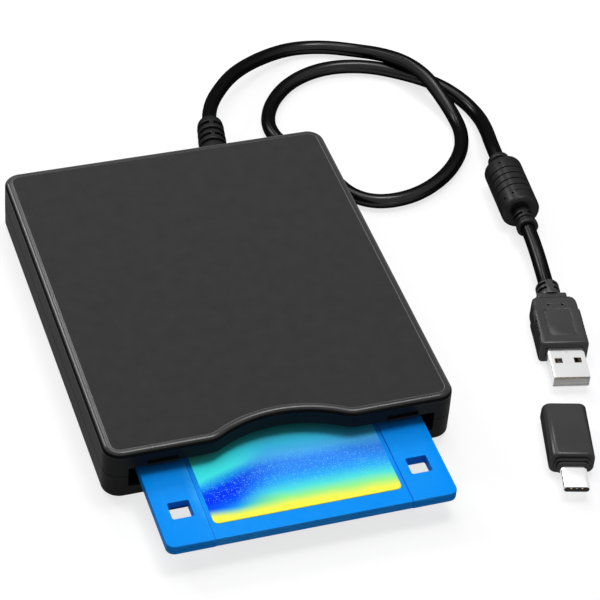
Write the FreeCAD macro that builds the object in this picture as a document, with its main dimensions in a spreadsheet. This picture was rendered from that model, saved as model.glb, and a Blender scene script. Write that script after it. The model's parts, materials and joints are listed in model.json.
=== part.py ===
import FreeCAD, Part
import os
import re
from math import asin, cos, pi, radians, sin, sqrt, tan

import Sketcher
from FreeCAD import Placement, Rotation, Vector

# External floppy disk drive with a half-inserted disk, a tethered USB-A plug and a loose
# USB-C adapter. Millimetres. Origin: centre of the footprint, on the surface the feet stand on.
# +X right and +Y to the rear as seen from the disk slot, +Z up.

SIZES = {
    # case
    "caseWidth": 110.4,  # outside, across the disk slot
    "caseLength": 135.0,  # outside, slot face to cord face
    "footHeight": 0.8,  # the case floats this high on its feet
    "partingHeight": 9.3,  # joint between the two covers
    "caseHeight": 18.4,  # top face
    "shellWall": 1.6,  # moulded wall of both covers
    "caseCorner": 5.5,  # corner radius in plan
    "rimRadius": 1.8,  # rounded top edge
    "baseRadius": 1.2,  # rounded bottom edge
    "scoopRadius": 49.0,  # finger scoop in the front edge
    "scoopDepth": 6.3,
    "scoopShoulder": 14.0,
    "tongueHeight": 1.2,  # lip that locates the covers
    "tongueWall": 0.7,
    "fitGap": 0.1,  # clearance of a located edge
    "partGap": 0.3,  # clearance between pieces that move past each other
    "slotWidth": 96.4,  # disk slot
    "slotLow": 5.0,
    "slotHigh": 12.4,
    "notchOffset": 37.6,  # moulding notches above the slot
    "notchWidth": 8.0,
    "notchHeight": 1.3,
    "footRadius": 4.5,
    "footOffsetX": 44.0,
    "footOffsetY": 57.0,
    "footRecess": 0.5,
    "screwOffsetX": 39.0,  # case screws
    "screwFrontY": -37.5,
    "screwRearY": 52.0,
    "screwRadius": 1.0,
    "screwHeadRadius": 1.9,
    "screwHeadHeight": 0.9,
    "screwReach": 0.6,  # thread past the chassis sheet
    "bossRadius": 3.6,
    "ribWidth": 1.2,
    "ribDrop": 1.6,
    "ribOffset": 32.0,
    "pipeReach": 1.5,  # light pipe, past the wall
    "ledLength": 2.4,
    "ledFoot": 3.0,
    "ledFootDepth": 1.0,
    # chassis and shield
    "chassisLift": 0.5,  # bosses under the chassis
    "sheet": 0.8,  # chassis sheet steel
    "chassisWidth": 98.0,
    "chassisFrontY": -59.2,
    "chassisRearY": 62.0,
    "chassisWallRearY": 28.0,
    "chassisTop": 13.2,
    "shieldSheet": 0.5,
    "shieldRearY": 40.0,
    "shieldSkirt": 3.0,
    "ventRadius": 4.5,
    "ventFrontY": -30.0,
    "ventRearY": 20.0,
    # disk
    "diskWidth": 90.0,
    "diskLength": 94.0,
    "diskThick": 3.3,
    "diskLow": 6.4,  # underside of the disk
    "diskFrontY": -98.7,  # label end of the disk as it rests, partly out
    "diskSplit": 1.6,  # height of the lower shell
    "diskCorner": 2.6,
    "hubFromLeadingEnd": 45.2,
    "insertTravel": 31.5,
    "chamberRadius": 43.3,
    "chamberLow": 1.0,  # above the underside
    "chamberHigh": 2.5,
    "hubOpening": 13.3,
    "hubRadius": 12.4,
    "hubSheet": 0.3,
    "hubNeck": 11.4,
    "hubFlange": 14.4,
    "hubSquare": 4.0,
    "hubLift": 0.1,  # recess of the hub's face
    "hubDriveWidth": 7.6,
    "hubDriveDepth": 3.0,
    "hubDriveOrbit": 7.6,
    "mediaRadius": 42.9,
    "mediaInner": 12.6,
    "mediaThick": 0.12,
    "linerThick": 0.15,
    "windowWidth": 9.0,
    "windowNear": 22.5,  # head window, from the hub's centre
    "windowFar": 41.3,
    "shutterRecess": 0.3,
    "shutterSheet": 0.2,
    "shutterWidth": 30.0,
    "shutterShift": 3.0,  # closed shutter's centre, right of the middle
    "shutterLength": 31.0,
    "shutterTravel": 12.5,
    "cornerHole": 6.6,  # square holes at the label end
    "cornerHoleX": 37.2,
    "cornerHoleY": 14.05,  # from the label end
    "tabThick": 0.5,
    "tabLength": 6.0,
    "tabGripInset": 1.5,
    "tabGripDepth": 0.8,
    "labelWidth": 58.4,
    "labelGap": 2.9,  # label to the shutter's recess
    "labelInset": 6.1,
    "labelThick": 0.15,
    "labelRecess": 0.3,
    "labelPocketWidth": 61.2,
    # holder and eject slide
    "holderSheet": 0.7,
    "holderSideGap": 0.4,
    "holderFrontY": -57.0,
    "lipWidth": 4.6,
    "liftTravel": 2.0,
    "pressTravel": 4.0,
    "pinRadius": 0.9,
    "pinFrontY": -38.0,
    "pinRearY": 14.0,
    "pinHeight": 8.0,
    "railSheet": 0.6,
    "railGap": 0.5,
    "railRearY": 19.0,
    "holderScoopRadius": 18.0,
    "holderScoopSet": 8.0,
    "holderHoleRadius": 3.6,
    "holderHoleY": -20.0,
    "armWayWidth": 20.0,  # clearance for the upper head arm
    "armWayMargin": 8.0,
    "crossFrontY": -50.8,
    "crossDepth": 7.0,
    "crossHeight": 4.0,
    "crossSheet": 0.6,
    "buttonX": 42.0,
    "buttonWidth": 8.4,
    "buttonHigh": 1.9,
    "buttonLow": 2.75,
    "buttonProud": 1.0,
    "buttonCapDepth": 2.5,
    "buttonStemReach": 9.0,
    "buttonStemWidth": 5.4,
    "sliderTabWidth": 4.2,
    "sliderTabGrip": 3.0,
    # spindle
    "shaftRadius": 1.5,
    "bushRadius": 3.0,
    "runningGap": 0.05,
    "statorBoard": 0.5,
    "statorWidth": 38.0,
    "statorDepth": 34.0,
    "rotorRadius": 15.0,
    "rotorTop": 5.9,
    "rotorLow": 4.5,
    "rotorSheet": 0.5,
    "magnetWall": 1.2,
    "magnetHeight": 0.8,
    "coilCircle": 9.2,
    "coilRadius": 2.2,
    "coilHeight": 0.7,
    "coilCore": 0.75,
    "seatRadius": 5.0,
    "spindleTop": 6.15,
    "drivePinRadius": 1.0,
    # head drive
    "trackZeroRadius": 39.5,
    "screwLead": 3.0,
    "headTravel": 14.8,
    "driveAxisHeight": 7.6,
    "leadScrewX": 6.4,
    "leadScrewRadius": 1.2,
    "threadDepth": 0.25,
    "screwTipRadius": 0.6,
    "screwSeat": 6.0,  # inside the motor
    "guideRodX": -9.0,
    "guideRodRadius": 1.2,
    "bracketY": 27.1,
    "bracketThick": 0.8,
    "clipWidth": 4.4,
    "clipCap": 2.0,
    "clipInset": 1.0,
    "motorFrontY": 48.6,
    "motorRadius": 5.0,
    "motorLength": 11.5,
    "motorFlange": 0.8,
    "motorFlangeWidth": 16.0,
    "carriageFrontY": 43.0,
    "carriageRearY": 48.2,
    "saddleWall": 1.8,
    "nutWall": 1.2,
    "nutInset": 1.6,
    "armWidth": 7.0,
    "armLead": 0.2,
    "armThick": 1.0,
    "headWidth": 3.6,
    "headHeight": 0.7,
    "hingeRadius": 1.4,  # knuckle of the upper head arm
    "hingeLift": 4.8,  # above the drive axis
    "hingePinRadius": 0.7,
    "earWidth": 1.2,
    # boards
    "boardThick": 1.0,
    "boardLift": 1.5,
    "boardLeftX": 15.2,
    "boardRightX": 47.0,
    "boardFrontGap": 3.2,  # holder to the board
    "boardRearY": 61.0,
    "boardCorner": 1.0,
    "postInset": 3.0,
    "postRadius": 1.6,
    "chipSide": 12.0,
    "chipHeight": 1.4,
    "chipFromRight": 6.0,
    "chipFromFront": 4.0,
    "bridgeSide": 6.0,
    "bridgeFromRight": 8.0,
    "bridgeFromFront": 19.0,
    "canRadius": 1.6,
    "canHeight": 4.4,
    "canFromLeft": 4.0,
    "canFromFront": 7.0,
    "canPitch": 5.0,
    "crystalWidth": 7.0,
    "crystalDepth": 3.0,
    "crystalHeight": 2.6,
    "headerWidth": 8.0,
    "headerDepth": 5.0,
    "headerHeight": 4.0,
    "headerInset": 0.5,
    "switchSide": 3.4,
    "switchTop": 5.3,
    "plungerRadius": 0.7,
    # cord, relief, ferrite
    "cordDiameter": 5.0,
    "reliefX": 18.75,
    "reliefYaw": 11.5,
    "reliefLength": 22.0,
    "reliefRadius": 5.1,
    "reliefTipRadius": 4.5,
    "reliefNeck": 3.5,
    "reliefFlange": 1.5,
    "reliefCollar": 2.4,
    "reliefGroove": 1.3,
    "reliefGrooveStart": 3.55,
    "reliefGroovePitch": 3.25,
    "reliefBridge": 1.5,  # left between the two halves of a slot pair
    "ferriteX": 114.0,
    "ferriteY": 33.0,
    "ferriteYaw": 5.5,
    "ferriteLength": 23.9,
    "ferriteRadius": 6.6,
    "ferriteRound": 1.4,
    "ferriteCollar": 5.1,  # neck and ring at the house end
    "ferriteBoot": 8.1,  # neck and ring at the plug end
    "ferriteNeck": 3.05,
    "ferriteCollarRadius": 3.7,
    "ferriteRing": 2.1,
    "ferriteGroove": 0.7,
    "ferriteGroovePitch": 3.1,
    "ferriteGrooveShift": -0.8,
    "ferriteGrooveDepth": 0.45,
    "ferriteCoreRadius": 4.9,
    "ferriteCoreLength": 18.0,
    "cordSeat": 2.2,  # the cord's end inside a boot
    # USB-A plug, measured from the rear of its relief barrel
    "plugX": 108.5,
    "plugY": -13.25,
    "plugYaw": 12.0,
    "plugAxisHeight": 4.1,
    "plugBarrel": 6.3,
    "plugBarrelRadius": 3.9,
    "barrelGroove": 1.1,
    "barrelGroovePitch": 2.2,
    "barrelBridge": 1.8,
    "plugCollar": 2.5,
    "plugCollarWidth": 9.8,
    "plugBodyLength": 22.8,
    "plugBodyWidth": 15.8,
    "plugBodyThick": 8.2,
    "plugCorner": 3.0,
    "plugRound": 1.2,
    "plugCollarThick": 6.6,
    "gripRib": 0.8,
    "gripPitch": 1.5,
    "gripDepth": 0.5,
    "gripFromRear": 11.2,
    "shellWidth": 12.0,
    "shellHeight": 4.5,
    "shellSheet": 0.3,
    "shellLength": 13.4,
    "shellRoot": 8.0,  # inside the overmould
    "shellWindow": 2.4,
    "shellWindowX": 3.1,
    "shellWindowY": 5.9,
    "tongueThick": 1.9,
    "tongueShort": 1.0,  # tongue ends this far inside the mouth
    "contactThick": 0.2,
    "contactWidth": 1.1,
    "contactInner": 1.05,
    "contactOuter": 3.5,
    "contactSetback": 0.6,
    # USB-C adapter
    "adapterX": 91.1,
    "adapterY": -69.4,
    "adapterYaw": 15.0,
    "adapterLength": 22.5,
    "adapterWidth": 14.0,
    "adapterThick": 8.2,
    "adapterCorner": 2.6,
    "adapterStep": 2.0,
    "adapterStepWidth": 11.0,
    "adapterStepThick": 5.4,
    "socketDepth": 13.0,
    "socketWidth": 13.0,
    "socketHeight": 5.5,
    "socketTongueWidth": 10.6,
    "socketTongueThick": 1.6,
    "socketTongueShort": 1.2,
    "tipWidth": 8.3,
    "tipHeight": 2.5,
    "tipLength": 8.8,
    "tipSheet": 0.3,
    "tipRoot": 4.0,
}

# The cord leaves the strain relief, lies in an outer arc, climbs over itself, runs down and
# round the inside of the loop, up behind the case and under its own crossing to the ferrite.
CORD_TO_FERRITE = [
    (34.6, 110.4, 8.9),
    (43.6, 119.2, 7.4),
    (55.9, 127.6, 4.8),
    (67.7, 132.5, 2.7),
    (79.7, 130.9, 2.5),
    (89.6, 124.8, 5.4),
    (96.2, 117.0, 9.4),
    (101.1, 108.6, 12.5),
    (105.2, 99.9, 12.5),
    (109.0, 90.9, 7.6),
    (111.4, 81.3, 3.2),
    (110.8, 71.3, 2.5),
    (106.0, 61.0, 2.5),
    (96.3, 50.6, 2.5),
    (83.8, 43.7, 2.5),
    (71.2, 42.7, 2.5),
    (62.9, 47.0, 2.5),
    (58.7, 55.2, 2.5),
    (58.7, 64.8, 2.5),
    (55.4, 72.0, 2.5),
    (48.3, 78.2, 2.5),
    (45.0, 84.8, 2.5),
    (45.0, 93.8, 2.5),
    (50.8, 105.2, 2.5),
    (61.7, 114.4, 2.5),
    (75.6, 119.0, 2.5),
    (90.3, 116.7, 2.5),
    (102.3, 109.4, 2.5),
    (112.2, 100.7, 2.5),
    (118.0, 89.6, 2.5),
    (120.2, 78.8, 2.6),
    (118.8, 68.0, 4.4),
]

doc = FreeCAD.newDocument("floppy_drive")
sheet = doc.addObject("Spreadsheet::Sheet", "Sizes")
for line, (alias, value) in enumerate(SIZES.items(), start=1):
    sheet.set("A%d" % line, alias)
    sheet.set("B%d" % line, str(value))
    sheet.setAlias("B%d" % line, alias)
doc.recompute()


class Values:
    """The sheet's cells as plain numbers, for the shapes that need them."""

    def __getattr__(self, alias):
        return float(sheet.get(alias))


size = Values()
pieces = []

# Places that follow from the sizes, as formulas on the sheet's cells.
floorTop = "(footHeight + shellWall)"
ceiling = "(caseHeight - shellWall)"
chassisLow = "(footHeight + shellWall + chassisLift)"
chassisFloor = "(footHeight + shellWall + chassisLift + sheet)"
frontFace = "(-caseLength / 2)"
rearFace = "(caseLength / 2)"
chassisSide = "(chassisWidth / 2)"
diskTop = "(diskLow + diskThick)"
diskMid = "(diskLow + diskSplit)"
diskRearY = "(diskFrontY + diskLength)"
hubY = "(diskFrontY + diskLength - hubFromLeadingEnd)"
spindleY = "(diskFrontY + diskLength - hubFromLeadingEnd + insertTravel)"
headY = "(diskFrontY + diskLength - hubFromLeadingEnd + insertTravel + trackZeroRadius)"
labelLength = "(diskLength - labelInset - shutterLength - labelGap)"
holderInner = "(diskWidth / 2 + holderSideGap)"
holderOuter = "(diskWidth / 2 + holderSideGap + holderSheet)"
holderLow = "(diskLow - partGap - holderSheet)"
holderTop = "(diskLow + diskThick + partGap)"
railInner = "(diskWidth / 2 + holderSideGap + holderSheet + railGap)"
railOuter = "(diskWidth / 2 + holderSideGap + holderSheet + railGap + railSheet)"
boardFront = "(diskFrontY + diskLength + insertTravel + boardFrontGap)"
boardLow = "(footHeight + shellWall + chassisLift + sheet + boardLift)"
boardTop = "(footHeight + shellWall + chassisLift + sheet + boardLift + boardThick)"
scoopCentreY = "(-caseLength / 2 - scoopRadius + scoopDepth)"


def formula(text):
    """Point each size named in the text at its cell."""
    return re.sub(r"[A-Za-z]\w*", lambda word: "Sizes." + word[0] if word[0] in SIZES else word[0],
                  str(text))


def bind(item, **links):
    for prop, text in links.items():
        item.setExpression(prop.replace("_", "."), formula(text))


def place(item, x, y, z):
    bind(item, Placement_Base_x=x, Placement_Base_y=y, Placement_Base_z=z)


def span(centre, width):
    return "(%s) - (%s) / 2" % (centre, width), "(%s) + (%s) / 2" % (centre, width)


def width(ends):
    return "(%s) - (%s)" % (ends[1], ends[0])


# ---- Part primitives -------------------------------------------------------------------


def block(xs, ys, zs):
    """A box between two ends along each axis."""
    item = doc.addObject("Part::Box", "Block")
    bind(item, Length=width(xs), Width=width(ys), Height=width(zs))
    place(item, xs[0], ys[0], zs[0])
    return item


def rod(x, y, z, radius, length, axis="Z"):
    """A cylinder that runs from its start point along +X, +Y or +Z."""
    item = doc.addObject("Part::Cylinder", "Rod")
    turns = {"X": Rotation(Vector(0, 1, 0), 90), "Y": Rotation(Vector(1, 0, 0), -90), "Z": Rotation()}
    item.Placement = Placement(Vector(), turns[axis])
    bind(item, Radius=radius, Height=length)
    place(item, x, y, z)
    return item


def cut(base, *tools):
    item = doc.addObject("Part::Cut", "Cut")
    item.Base = base
    item.Tool = tools[0] if len(tools) == 1 else join(*tools)
    return item


def join(*items):
    item = doc.addObject("Part::MultiFuse", "Join")
    item.Shapes = list(items)
    return item


def group(*items):
    """Separate solids kept in one sub-part."""
    item = doc.addObject("Part::Compound", "Group")
    item.Links = list(items)
    return item


def ring(x, y, z, outer, inner, length, axis="Z"):
    return cut(rod(x, y, z, outer, length, axis), rod(x, y, z, inner, length, axis))


def piece(label, item):
    """Name the sub-part that the item is."""
    item.Label = label
    pieces.append(item)
    return item


# ---- PartDesign bodies -----------------------------------------------------------------


def newBody(label):
    body = doc.addObject("PartDesign::Body", "Body")
    return piece(label, body)


def sketchAt(body, height):
    """A sketch on the body's own XY plane, lifted to a height."""
    sketch = body.newObject("Sketcher::SketchObject", "Sketch")
    plane = [f for f in body.Origin.OriginFeatures if f.Role == "XY_Plane"][0]
    sketch.AttachmentSupport = [(plane, "")]
    sketch.MapMode = "FlatFace"
    sketch.setExpression("AttachmentOffset.Base.z", formula(height))
    return sketch


def fix(sketch, kind, geometry, text, point=None):
    """Drive a point's coordinate or a radius of the sketch by a formula, from where it stands."""
    if point is None:
        constraint = Sketcher.Constraint(kind, geometry, sketch.Geometry[geometry].Radius)
    else:
        there = sketch.getPoint(geometry, point)
        value = there.x if kind == "DistanceX" else there.y
        constraint = Sketcher.Constraint(kind, -1, 1, geometry, point, value)
    index = sketch.addConstraint(constraint)
    sketch.setExpression("Constraints[%d]" % index, formula(text))


def drawRectangle(sketch, xs, ys):
    corners = [Vector(0, 0), Vector(9, 0), Vector(9, 9), Vector(0, 9)]
    first = sketch.GeometryCount
    for start, end in zip(corners, corners[1:] + corners[:1]):
        sketch.addGeometry(Part.LineSegment(start, end))
    for side in range(4):
        sketch.addConstraint(Sketcher.Constraint("Coincident", first + side, 2, first + (side + 1) % 4, 1))
    for side, kind in enumerate(["Horizontal", "Vertical", "Horizontal", "Vertical"]):
        sketch.addConstraint(Sketcher.Constraint(kind, first + side))
    fix(sketch, "DistanceX", first, xs[0], 1)
    fix(sketch, "DistanceY", first, ys[0], 1)
    fix(sketch, "DistanceX", first + 2, xs[1], 1)
    fix(sketch, "DistanceY", first + 2, ys[1], 1)


def drawCircle(sketch, x, y, radius):
    index = sketch.addGeometry(Part.Circle(Vector(1, 1), Vector(0, 0, 1), 1))
    fix(sketch, "DistanceX", index, x, 3)
    fix(sketch, "DistanceY", index, y, 3)
    fix(sketch, "Radius", index, radius)


def grow(body, sketch, height):
    """Pad the sketch upwards."""
    pad = body.newObject("PartDesign::Pad", "Pad")
    pad.Profile = sketch
    bind(pad, Length=height)
    body.Tip = pad
    return pad


def sink(body, sketch, depth):
    """Pocket the sketch downwards and make sure that it took material away."""
    doc.recompute()
    before = body.Shape.Volume
    pocket = body.newObject("PartDesign::Pocket", "Pocket")
    pocket.Profile = sketch
    bind(pocket, Length=depth)
    body.Tip = pocket
    doc.recompute()
    if body.Shape.Volume >= before - 1e-6:
        raise RuntimeError("a pocket of %s cuts nothing" % body.Label)
    return pocket


def padBlock(body, xs, ys, zs):
    sketch = sketchAt(body, zs[0])
    drawRectangle(sketch, xs, ys)
    return grow(body, sketch, width(zs))


def padDisc(body, x, y, radius, zs):
    sketch = sketchAt(body, zs[0])
    drawCircle(sketch, x, y, radius)
    return grow(body, sketch, width(zs))


def pocketBlock(body, xs, ys, zs):
    sketch = sketchAt(body, zs[1])
    drawRectangle(sketch, xs, ys)
    return sink(body, sketch, width(zs))


def pocketDiscs(body, centres, radius, zs):
    sketch = sketchAt(body, zs[1])
    for x, y in centres:
        drawCircle(sketch, x, y, radius)
    return sink(body, sketch, width(zs))


def roundEdges(body, radius, wanted):
    """Fillet the edges of the body's last feature that the test picks."""
    doc.recompute()
    tip = body.Tip
    names = ["Edge%d" % (i + 1) for i, edge in enumerate(tip.Shape.Edges) if wanted(edge)]
    if not names:
        raise RuntimeError("no edge to round on %s" % body.Label)
    fillet = body.newObject("PartDesign::Fillet", "Fillet")
    fillet.Base = (tip, names)
    bind(fillet, Radius=radius)
    body.Tip = fillet
    doc.recompute()
    return fillet


def upright(edge):
    first, last = edge.Vertexes[0].Point, edge.Vertexes[-1].Point
    return abs(first.x - last.x) < 1e-6 and abs(first.y - last.y) < 1e-6 and abs(first.z - last.z) > 1e-6


def levelAt(height):
    """A test for edges that lie flat at one height."""
    return lambda edge: abs(edge.BoundBox.ZMax - height) < 1e-3 and abs(edge.BoundBox.ZMin - height) < 1e-3


# ---- Case ------------------------------------------------------------------------------


def drawCaseOutline(sketch, inset):
    """The plan of the case, with its finger scoop, moved inwards by an inset."""
    side = "(caseWidth / 2 - (%s))" % inset
    end = "(caseLength / 2 - (%s))" % inset
    radius = "(scoopRadius + (%s))" % inset
    across, along = size.caseWidth / 2, size.caseLength / 2
    drop = size.scoopRadius - size.scoopDepth
    chord = sqrt(size.scoopRadius**2 - drop**2)
    half = asin(chord / size.scoopRadius)
    scoop = Part.Circle(Vector(0, -along - drop), Vector(0, 0, 1), size.scoopRadius)
    corners = [Vector(-across, -along), Vector(-chord, -along), Vector(chord, -along),
               Vector(across, -along),
               Vector(across, along), Vector(-across, along)]
    sketch.addGeometry(Part.LineSegment(corners[0], corners[1]))
    sketch.addGeometry(Part.ArcOfCircle(scoop, pi / 2 - half, pi / 2 + half))
    for first, last in zip(corners[2:], corners[3:] + corners[:1]):
        sketch.addGeometry(Part.LineSegment(first, last))
    sketch.addConstraint(Sketcher.Constraint("Coincident", 0, 2, 1, 2))
    sketch.addConstraint(Sketcher.Constraint("Coincident", 1, 1, 2, 1))
    for line in (2, 3, 4):
        sketch.addConstraint(Sketcher.Constraint("Coincident", line, 2, line + 1, 1))
    sketch.addConstraint(Sketcher.Constraint("Coincident", 5, 2, 0, 1))
    for line, kind in [(0, "Horizontal"), (2, "Horizontal"), (3, "Vertical"), (4, "Horizontal"),
                       (5, "Vertical")]:
        sketch.addConstraint(Sketcher.Constraint(kind, line))
    fix(sketch, "DistanceX", 0, "-" + side, 1)
    fix(sketch, "DistanceY", 0, "-" + end, 1)
    fix(sketch, "DistanceX", 3, side, 2)
    fix(sketch, "DistanceY", 3, end, 2)
    fix(sketch, "DistanceY", 2, "-" + end, 2)
    fix(sketch, "DistanceX", 1, "0", 3)
    fix(sketch, "DistanceY", 1, scoopCentreY, 3)
    fix(sketch, "Radius", 1, radius)


def roundOutline(body, inset, low, high):
    """Round the plan's corners and the scoop's shoulders between two heights."""

    def inPlace(edge, side, end):
        box = edge.BoundBox
        return (
            upright(edge)
            and abs(abs(edge.Vertexes[0].X) - side) < 1e-3
            and abs(abs(edge.Vertexes[0].Y) - end) < 1e-3
            and box.ZMin > low - 1e-3
            and box.ZMax < high + 1e-3
        )

    side = size.caseWidth / 2 - inset
    end = size.caseLength / 2 - inset
    radius = size.scoopRadius + inset
    drop = size.scoopRadius - size.scoopDepth - inset
    chord = sqrt(radius**2 - drop**2)
    roundEdges(body, "caseCorner - (%s)" % inset, lambda edge: inPlace(edge, side, end))
    roundEdges(body, "scoopShoulder + (%s)" % inset, lambda edge: inPlace(edge, chord, end))


def hollowCase(body, low, high, inset):
    """Take out the inside of a cover between two heights."""
    sketch = sketchAt(body, high)
    drawCaseOutline(sketch, inset)
    sink(body, sketch, "(%s) - (%s)" % (high, low))


def addTopCover():
    body = newBody("top_cover")
    sketch = sketchAt(body, "partingHeight")
    drawCaseOutline(sketch, "0")
    grow(body, sketch, "caseHeight - partingHeight")
    roundOutline(body, 0, size.partingHeight, size.caseHeight)
    roundEdges(body, "rimRadius", levelAt(size.caseHeight))
    hollowCase(body, "partingHeight", ceiling, "shellWall")
    hollowCase(body, "partingHeight", "(partingHeight + tongueHeight + fitGap)",
               "(shellWall - tongueWall - fitGap)")
    pocketBlock(body, span("0", "slotWidth"),
                (frontFace + " - 1", frontFace + " + scoopDepth + shellWall + 1"),
                ("partingHeight", "slotHigh"))
    for side in (-1, 1):
        pocketBlock(body, span("%d * notchOffset" % side, "notchWidth"),
                    (frontFace + " - 1", frontFace + " + shellWall / 2"),
                    ("slotHigh", "slotHigh + notchHeight"))
    for side in (-1, 1):
        padBlock(body, span("%d * ribOffset" % side, "ribWidth"), ("chassisFrontY", "chassisRearY"),
                 (ceiling + " - ribDrop", ceiling + " + shellWall / 2"))
    return body


def addBottomCover():
    body = newBody("bottom_cover")
    sketch = sketchAt(body, "footHeight")
    drawCaseOutline(sketch, "0")
    grow(body, sketch, "partingHeight - footHeight")
    roundOutline(body, 0, size.footHeight, size.partingHeight)
    roundEdges(body, "baseRadius", levelAt(size.footHeight))
    lip = sketchAt(body, "partingHeight")
    drawCaseOutline(lip, "(shellWall - tongueWall)")
    grow(body, lip, "tongueHeight")
    hollowCase(body, floorTop, "(partingHeight + tongueHeight)", "shellWall")
    pocketBlock(body, span("0", "slotWidth"),
                (frontFace + " - 1", frontFace + " + scoopDepth + shellWall + 1"),
                ("slotLow", "partingHeight + tongueHeight"))
    screws = [("%d * screwOffsetX" % side, y) for side in (-1, 1) for y in ("screwFrontY", "screwRearY")]
    feet = [("%d * footOffsetX" % side, "%d * footOffsetY" % end) for side in (-1, 1) for end in (-1, 1)]
    for x, y in screws:
        padDisc(body, x, y, "bossRadius", ("footHeight + shellWall / 2", chassisLow))
    pocketDiscs(body, screws, "screwRadius + fitGap", ("footHeight", chassisLow))
    pocketDiscs(body, screws, "screwHeadRadius + fitGap",
                ("footHeight", "footHeight + screwHeadHeight + fitGap"))
    pocketDiscs(body, feet, "footRadius", ("footHeight", "footHeight + footRecess"))
    pocketBlock(body, span("buttonX", "buttonWidth + 2 * partGap"),
                (frontFace + " - 1", frontFace + " + shellWall + 1"),
                ("buttonLow - partGap", "slotLow"))
    return body


def reliefNeckTool():
    return rod("reliefX", rearFace + " - shellWall - 1", "partingHeight", "reliefNeck + fitGap",
               "shellWall + 2", "Y")


def lightPipeTool():
    return rod("-buttonX", frontFace + " - 1", "buttonLow + buttonHigh / 2", "buttonHigh / 2",
               "shellWall + 2", "Y")


def addCaseTrim():
    piece("rubber_feet", group(*[
        rod("%d * footOffsetX" % side, "%d * footOffsetY" % end, "0", "footRadius - fitGap",
            "footHeight + footRecess")
        for side in (-1, 1) for end in (-1, 1)]))
    screws = []
    for side in (-1, 1):
        for y in ("screwFrontY", "screwRearY"):
            x = "%d * screwOffsetX" % side
            head = rod(x, y, "footHeight", "screwHeadRadius", "screwHeadHeight")
            shank = rod(x, y, "footHeight + screwHeadHeight / 2", "screwRadius",
                        chassisFloor + " + screwReach - footHeight - screwHeadHeight / 2")
            driver = block(span(x, "screwHeadRadius"), span(y, "screwRadius / 2"),
                           ("footHeight", "footHeight + screwHeadHeight / 3"))
            screws.append(cut(join(head, shank), driver))
    piece("case_screws", group(*screws))
    lightHeight = "(buttonLow + buttonHigh / 2)"
    pipeEnd = "(%s + shellWall + pipeReach)" % frontFace
    piece("light_pipe", rod("-buttonX", frontFace + " - fitGap", lightHeight, "buttonHigh / 2 - runningGap",
                            "shellWall + pipeReach + fitGap", "Y"))
    diode = rod("-buttonX", pipeEnd, lightHeight, "buttonHigh / 2", "ledLength", "Y")
    foot = block(span("-buttonX", "ledFoot"),
                 (pipeEnd + " + ledLength - ledFootDepth", pipeEnd + " + ledLength"),
                 (floorTop, lightHeight))
    piece("power_light", join(diode, foot))


# ---- Chassis ---------------------------------------------------------------------------


def addChassis():
    body = newBody("chassis")
    padBlock(body, span("0", "chassisWidth"), ("chassisFrontY", "chassisRearY"), (chassisLow, chassisFloor))
    for xs in ((chassisSide + " - sheet", chassisSide), ("-" + chassisSide, "-%s + sheet" % chassisSide)):
        padBlock(body, xs, ("chassisFrontY", "chassisWallRearY"), (chassisLow, "chassisTop"))
    screws = [("%d * screwOffsetX" % side, y) for side in (-1, 1) for y in ("screwFrontY", "screwRearY")]
    pocketDiscs(body, screws, "screwRadius + runningGap", (chassisLow, chassisFloor))
    pocketDiscs(body, [("0", spindleY)], "bushRadius + runningGap", (chassisLow, chassisFloor))
    pocketBlock(body, span("leadScrewX", "motorFlangeWidth + 2 * partGap"),
                ("motorFrontY - partGap", "motorFrontY + motorLength + partGap"),
                (chassisLow, chassisFloor))
    for y in ("pinFrontY", "pinRearY"):
        pocketBlock(body, span("0", "chassisWidth + 2"), span(y, "2 * pinRadius + 2 * partGap"),
                    ("pinHeight - pinRadius - partGap", "chassisTop"))
    return body


def addShield():
    body = newBody("top_shield")
    half = "(chassisWidth / 2 + fitGap + shieldSheet)"
    padBlock(body, ("-" + half, half), ("chassisFrontY", "shieldRearY"),
             ("chassisTop", "chassisTop + shieldSheet"))
    for xs in (("-" + half, "-" + half + " + shieldSheet"), (half + " - shieldSheet", half)):
        padBlock(body, xs, ("chassisFrontY", "chassisWallRearY"),
                 ("chassisTop - shieldSkirt", "chassisTop + shieldSheet / 2"))
    sheetSpan = ("chassisTop", "chassisTop + shieldSheet")
    vents = [("%d * ribOffset" % side, y) for side in (-1, 1) for y in ("ventFrontY", "ventRearY")]
    pocketBlock(body, span("0", "armWayWidth"), (headY + " - headTravel - armWayMargin", "shieldRearY + 1"),
                sheetSpan)
    pocketDiscs(body, vents, "ventRadius", sheetSpan)
    return body


# ---- Disk ------------------------------------------------------------------------------


def cornerHoleSpans(side):
    return (span("%d * cornerHoleX" % side, "cornerHole"), span("diskFrontY + cornerHoleY", "cornerHole"))


def diskShell(label, zs):
    body = newBody(label)
    padBlock(body, span("0", "diskWidth"), ("diskFrontY", diskRearY), zs)
    roundEdges(body, "diskCorner", upright)
    return body


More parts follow.
